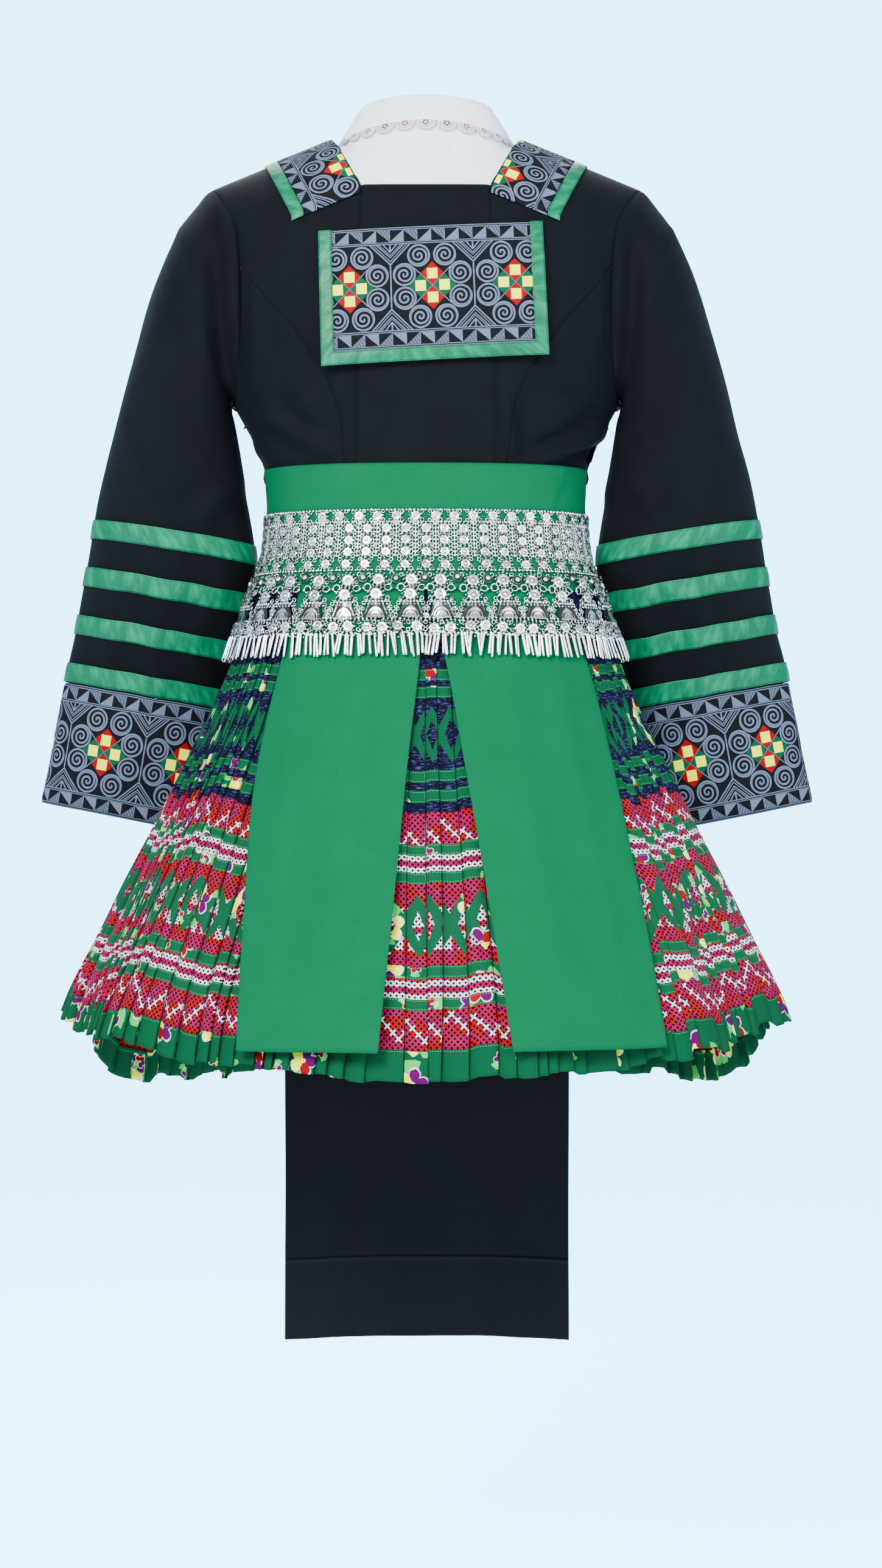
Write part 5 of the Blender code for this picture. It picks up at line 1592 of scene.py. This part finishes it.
class Links:
    """Collects many small shapes in one mesh."""

    def __init__(self):
        self.points, self.faces, self.uv, self.high, self.count, self.made = [], [], [], [], 0, 0

    def set_down(self, shape, frames, size=1.0, turn=0.0, tilt=0.0):
        """shape is points (n, 3) across, up and out, and faces (m, 4). A triangle repeats its last corner."""
        middle, axes = frames
        points, faces = shape
        many = len(middle)
        turn, tilt = np.broadcast_to(turn, many)[:, None], np.broadcast_to(tilt, many)[:, None]
        size = np.broadcast_to(size, many)[:, None]
        x, y, z = (points[:, i][None] * size for i in range(3))
        high = (points[:, 2] - points[:, 2].min()) / max(np.ptp(points[:, 2]), 1e-9) + np.zeros_like(x)
        self.high.append(high.reshape(-1))
        x, y = x * np.cos(turn) - y * np.sin(turn), x * np.sin(turn) + y * np.cos(turn)
        z = z + y * tilt
        placed = middle[:, None] + np.einsum("nki,nij->nkj", np.stack([x, y, z], -1), axes)
        self.points.append(placed.reshape(-1, 3))
        offset = self.count + np.arange(many)[:, None, None] * len(points)
        self.faces.append((faces[None] + offset).reshape(-1, 4))
        number = (np.arange(many)[:, None] + self.made) * 0.037
        self.made += many
        self.uv.append(np.stack([x + number, y + number], -1).reshape(-1, 2))
        self.count += many * len(points)

    def finish(self, node):
        points, faces, uv, high = map(np.concatenate, (self.points, self.faces, self.uv, self.high))
        corners = [face[:3] if face[2] == face[3] else face for face in faces.tolist()]
        obj = new_object(node + "_silver", points, corners, silver)
        order = np.empty(len(obj.data.loops), np.int32)
        obj.data.loops.foreach_get("vertex_index", order)
        add_map(obj, "Cloth", uv[order])
        add_map(obj, "High", (np.stack([high, high * 0], -1) / 1000)[order])
        stand_for(obj, node)
        print(node, "faces:", len(corners))


def turned(profile, sectors, petals=0, swing=0.0):
    """A shape of rings (radius, out), closed with a fan in the middle. Petals swell the rings by swing."""
    angle = circle(sectors)
    points = [(0.0, 0.0, profile[0][1])]
    for radius, out in profile[1:]:
        wave = 1 + swing * np.cos(petals * angle) * (radius / profile[-1][0])
        points += np.stack([radius * wave * np.cos(angle), radius * wave * np.sin(angle),
                            out * wave + 0 * angle], -1).tolist()
    i = np.arange(sectors)
    j = (i + 1) % sectors
    faces = [np.stack([0 * i, 1 + i, 1 + j, 1 + j], -1)]
    for ring in range(len(profile) - 2):
        a, b = 1 + ring * sectors, 1 + (ring + 1) * sectors
        faces.append(np.stack([a + i, b + i, b + j, a + j], -1))
    return np.array(points), np.concatenate(faces)


def loop_shape(radius, wire, sides, around):
    """A jump ring that lies flat."""
    a, b = np.meshgrid(circle(sides), circle(around), indexing="ij")
    reach = radius + wire * np.cos(b)
    points = np.stack([reach * np.cos(a), reach * np.sin(a), wire * np.sin(b)], -1).reshape(-1, 3)
    index = np.arange(sides * around).reshape(sides, around)
    ahead, beside = np.roll(index, -1, 0), np.roll(index, -1, 1)
    return points, np.stack([index, ahead, np.roll(ahead, -1, 1), beside], -1).reshape(-1, 4)


def joined(*parts):
    """Several shapes as one."""
    points, faces, count = [], [], 0
    for shape, dx, dy, dz in parts:
        points.append(shape[0] + (dx, dy, dz))
        faces.append(shape[1] + count)
        count += len(shape[0])
    return np.concatenate(points), np.concatenate(faces)


def beaded_flower(radius, beads, petals=8):
    """A domed rosette with a knob in the middle and a rim of beads."""
    profile = [(0, 0.30), (0.15, 0.25), (0.24, 0.10), (0.42, 0.21), (0.64, 0.22), (0.82, 0.02)]
    rosette = turned([(r * radius, h * radius) for r, h in profile], petals * 2, petals, 0.14)
    bead = turned([(0, 0.19 * radius), (0.10 * radius, 0.14 * radius), (0.145 * radius, 0.0)], 4)
    parts = [(rosette, 0, 0, 0)]
    for i in range(beads):
        angle = (i + 0.5) * math.tau / beads
        parts.append((bead, 0.92 * radius * math.cos(angle), 0.92 * radius * math.sin(angle), 0.0))
    return joined(*parts)


BEAD = turned([(0, 1.0), (0.7, 0.72), (1.0, 0.0)], 6)
STUD = joined((turned([(0, 0.0024), (0.0011, 0.0021), (0.0019, 0.0012), (0.0022, 0.0)], 12), 0, 0, 0.0006),
              (loop_shape(0.0034, 0.0006, 14, 6), 0, 0, 0.0004))
print("flower points:", len(beaded_flower(0.005, 10)[0]))

# %% Belt band
COLUMNS, BAND_LENGTH, BAND_ROWS = 47, 0.80, (0.0060, 0.0172, 0.0278, 0.0384, 0.0494)
RIM_BEADS, RIM_ROWS = 5 * COLUMNS, (0.0008, 0.0116, 0.0550)
band = Links()
small_flower = beaded_flower(0.0061, 9)
jump = loop_shape(0.0017, 0.00055, 7, 3)


def ring_pairs(places, below, spread, out):
    """Two rings side by side at each place, each leaning its own way."""
    for across in (-spread, spread):
        drop = sway.normal(0, 0.0002, COLUMNS)
        band.set_down(jump, belt_frames(places + across / BAND_LENGTH, BELT_TOP - below, out, drop),
                      turn=sway.uniform(0, 1, COLUMNS), tilt=sway.normal(0, 0.35, COLUMNS))


even = (np.arange(COLUMNS) + 0.5) / COLUMNS + sway.normal(0, 0.0004, COLUMNS)
odd = even + 0.5 / COLUMNS
for row, below in enumerate(BAND_ROWS):
    places, gaps = (even, odd) if row == 0 else (odd, even)
    frames = belt_frames(places, BELT_TOP - below, BELT_OUT - 0.0004, sway.normal(0, 0.0002, COLUMNS))
    band.set_down(small_flower, frames, turn=sway.uniform(-0.3, 0.3, COLUMNS),
                  tilt=sway.normal(0, 0.08, COLUMNS))
    for lower in (-0.0040, 0.0040):
        ring_pairs(gaps, below + lower, 0.0034, BELT_OUT - 0.0006)
    if 0 < row < 4:
        for lower in (-0.0053, -0.0020, 0.0017):
            ring_pairs(gaps, below + lower, 0.0013, BELT_OUT - 0.0002)
        for lower in (-0.0035, 0.0, 0.0035):
            band.set_down(BEAD, belt_frames(gaps, BELT_TOP - below - lower, BELT_OUT - 0.0006), size=0.0015)
for below in RIM_ROWS:
    frames = belt_frames(np.arange(RIM_BEADS) / RIM_BEADS, BELT_TOP - below, BELT_OUT - 0.0008)
    band.set_down(BEAD, frames, size=sway.uniform(0.0011, 0.0016, RIM_BEADS))
band.finish("belt_band")

# %% Belt bells
UNITS, LOW_BEADS, PLATE_ROWS, PLATE_COLUMNS = 32, 260, 15, 17
# Length of the belt round the body, in metres, which widens from the studs down to the plates' lower corners
STUD_LENGTH, LINK_LENGTH, BEAD_LENGTH, RIM_LENGTH, RING_LENGTH = 0.84, 0.85, 0.86, 0.87, 0.88
# Rings beside each plate, across from its middle and at their heights
PLATE_RINGS = (
    (0.0104, -0.4290), (0.0092, -0.4248), (0.0122, -0.4328), (0.0108, -0.4340), (0.0128, -0.4368),
    (0.0119, -0.4400), (0.0134, -0.4410),
)


def bell_shape():
    """A plate that widens downwards, with an arched rib and a boss."""
    v, u = np.meshgrid(np.linspace(0, 1, PLATE_ROWS), np.linspace(-1, 1, PLATE_COLUMNS), indexing="ij")
    half = lerp(0.0062, 0.0118, v ** 1.1)
    x, y = u * half, -v * 0.0155 - 0.0008 * (1 - u * u) * v
    reach = np.hypot(x / 0.0082, (y + 0.0150) / 0.0100)
    rib = 0.0007 * np.exp(-(((reach - 0.86) / 0.10) ** 2)) + 0.0005 * np.exp(-(((reach - 0.52) / 0.09) ** 2))
    rib += 0.0009 * np.exp(-((reach / 0.20) ** 2))
    rim = 0.0006 * (np.exp(-(((1 - np.abs(u)) / 0.10) ** 2)) + np.exp(-(((1 - v) / 0.10) ** 2)))
    bow = 0.0013 * (1 - u * u)
    points = np.stack([x, y, bow + rib + rim], -1).reshape(-1, 3)
    index = np.arange(PLATE_ROWS * PLATE_COLUMNS).reshape(PLATE_ROWS, PLATE_COLUMNS)
    faces = np.stack([index[:-1, :-1], index[1:, :-1], index[1:, 1:], index[:-1, 1:]], -1)
    return points, faces.reshape(-1, 4)


bells = Links()
large_flower = beaded_flower(0.0079, 12, 10)
link = loop_shape(0.0032, 0.0007, 12, 5)
places = (np.arange(UNITS) + 0.5) / UNITS + sway.normal(0, 0.0010, UNITS)
between = places + 0.5 / UNITS
drop = sway.normal(0, 0.0006, UNITS)
tilt = sway.normal(0, 0.10, UNITS)
for shift, height, out in ((0, -0.4078, 0.0062), (0.0008, -0.4208, 0.0070)):
    bells.set_down(large_flower, belt_frames(places + shift, height, out, drop),
                   turn=sway.uniform(0, 1, UNITS), tilt=tilt)
bells.set_down(STUD, belt_frames(between, -0.4068, 0.0064, sway.normal(0, 0.0010, UNITS)), size=1.15)
for across, height, size in ((0.0040, -0.4028, 1.2), (-0.0042, -0.4034, 1.0), (0.0052, -0.4100, 1.0)):
    bells.set_down(jump, belt_frames(between + across / STUD_LENGTH, height, 0.0060), size=size,
                   tilt=sway.normal(0, 0.4, UNITS))
for side in (-1, 1):
    bells.set_down(link, belt_frames(places + side * 0.0086 / LINK_LENGTH, -0.4150, 0.0064, drop),
                   tilt=0.3 * side)
    for across, height in ((0.0118, -0.4158), (0.0056, -0.4286), (0.0080, -0.4262)):
        bells.set_down(BEAD, belt_frames(places + side * across / BEAD_LENGTH, height, 0.0066, drop),
                       size=0.0015)
    for across, height in PLATE_RINGS:
        bells.set_down(jump, belt_frames(places + side * across / RING_LENGTH, height, 0.0066, drop),
                       tilt=sway.normal(0, 0.4, UNITS), turn=sway.uniform(0, 1, UNITS))
bells.set_down(bell_shape(), belt_frames(places, -0.4276, 0.0070, drop), tilt=sway.normal(-0.02, 0.06, UNITS),
               turn=sway.normal(0, 0.05, UNITS))
for across in np.linspace(-0.0078, 0.0078, 7):
    bells.set_down(BEAD, belt_frames(places + across / RIM_LENGTH, -0.4276, 0.0080, drop), size=0.0014)
    bells.set_down(BEAD, belt_frames(places + across * 1.2 / RIM_LENGTH, -0.4302, 0.0078, drop), size=0.0010)
for height, size in ((-0.4424, 0.0015), (-0.4444, 0.0012)):
    spots = np.arange(LOW_BEADS) / LOW_BEADS
    bells.set_down(BEAD, belt_frames(spots, height, 0.0080, sway.normal(0, 0.0004, LOW_BEADS)),
                   size=size * sway.uniform(0.7, 1.1, LOW_BEADS))
bells.finish("belt_bells")

# %% Belt fringe
FLOWERS, TUBES, TUBE_SIDES, TUBE_HALF_WIDTH, TUBE_HALF_DEPTH = 64, 262, 7, 0.00138, 0.00125
FRINGE_OUT = 0.0088


def tube_shape():
    """A thin tube with a rounded end, one metre long and of one metre radius."""
    rings = [(0.0, 1.0), (0.25, 1.0), (0.55, 1.02), (0.90, 0.98), (0.965, 0.86), (0.992, 0.55)]
    points = [(r * np.cos(a), -v, r * np.sin(a)) for v, r in rings for a in circle(TUBE_SIDES)]
    i = np.arange(TUBE_SIDES)
    j = (i + 1) % TUBE_SIDES
    faces = []
    for above in range(0, len(points) - TUBE_SIDES, TUBE_SIDES):
        below = above + TUBE_SIDES
        faces.append(np.stack([above + j, below + j, below + i, above + i], -1))
    faces.append(np.stack([below + j, len(points) + 0 * i, below + i, below + i], -1))
    return np.array(points + [(0.0, -1.0, 0.0)]), np.concatenate(faces)


fringe = Links()
places = (np.arange(FLOWERS) + 0.5) / FLOWERS + sway.normal(0, 0.0008, FLOWERS)
hang = 0.0009 * np.sin(places * 61) + sway.normal(0, 0.0006, FLOWERS)
fringe.set_down(beaded_flower(0.0070, 11), belt_frames(places, -0.4500, FRINGE_OUT, hang),
                turn=sway.uniform(0, 1, FLOWERS), tilt=sway.normal(0, 0.12, FLOWERS))
for height in (-0.4462, -0.4528):
    fringe.set_down(jump, belt_frames(places + 0.5 / FLOWERS, height, FRINGE_OUT),
                    tilt=sway.normal(0, 0.4, FLOWERS))
for height, count, size in ((-0.4553, 240, 1.3), (-0.4568, 270, 1.0), (-0.4582, 250, 0.8)):
    spots = np.arange(count) / count
    fringe.set_down(BEAD, belt_frames(spots, height, FRINGE_OUT + 0.0001, sway.normal(0, 0.0007, count)),
                    size=sway.uniform(0.0009, 0.0014, count) * size)
spots = (np.arange(TUBES) + sway.uniform(-0.45, 0.45, TUBES)) / TUBES
hang = 0.0009 * np.sin(spots * 61)
middle, axes = belt_frames(spots, -0.4562, FRINGE_OUT + 0.0001, hang)
middle += axes[:, 2] * 0.0011 * (np.arange(TUBES) % 3 - 1)[:, None]
long = sway.uniform(0.0190, 0.0222, TUBES) + hang
swing = np.interp(spots * 60, np.arange(61), sway.normal(0, 0.09, 61)) + sway.normal(0, 0.06, TUBES)
points, faces = tube_shape()
for i in range(TUBES):
    shape = points * (TUBE_HALF_WIDTH, long[i], TUBE_HALF_DEPTH)
    fringe.set_down((shape, faces), (middle[i : i + 1], axes[i : i + 1]), turn=swing[i])
fringe.finish("belt_fringe")

# %% [markdown]
# ## The studio
# A round pale floor turns up into a low wall far away, so that every view has the same plain background,
# and no camera ever stands behind a wall.

# %% Floor
FLOOR, SECTORS = -1.42, 96


def make_backdrop():
    material, shader, x, y = new_material("pale studio floor", 0.92)
    mottle = noise(x, y, 900.0, 2.0, 3.0)
    shader.inputs["Emission Color"].default_value = (0.14, 0.60, 1.0, 1.0)
    path = x.tree.nodes.new("ShaderNodeLightPath")
    seen = Val(x.tree, path.outputs["Is Camera Ray"])
    (seen * 7.1 + 0.4).to(shader.inputs["Emission Strength"])
    set_colour(shader, blend(mottle, srgb(236, 244, 249), srgb(243, 249, 253)))
    bend = 2.5
    profile = [(0.02, 0), (1.0, 0), (2.5, 0), (5.0, 0), (6.5, 0)]
    profile += [(6.5 + bend * math.sin(a), bend - bend * math.cos(a)) for a in np.linspace(0.1, 1.35, 14)]
    profile += [(9.4, 3.4), (9.6, 5.0)]
    rings = [(r * math.cos(a), r * math.sin(a), FLOOR + z) for r, z in profile for a in circle(SECTORS)]
    index = np.arange(len(rings)).reshape(-1, SECTORS)
    ahead = np.roll(index, -1, 1)
    faces = np.stack([index[:-1], index[1:], ahead[1:], ahead[:-1]], -1).reshape(-1, 4).tolist()
    floor = new_object("studio_floor", np.array(rings), faces + [index[0].tolist()], material)
    add_map(floor, "Cloth", np.array([rings[loop.vertex_index][:2] for loop in floor.data.loops]))


make_backdrop()
print("floor at", FLOOR, "m")

# %% [markdown]
# ## Sheets
# The sheets of cloth are counted.

# %% Sheets
print("sheets:", len(SHEETS))
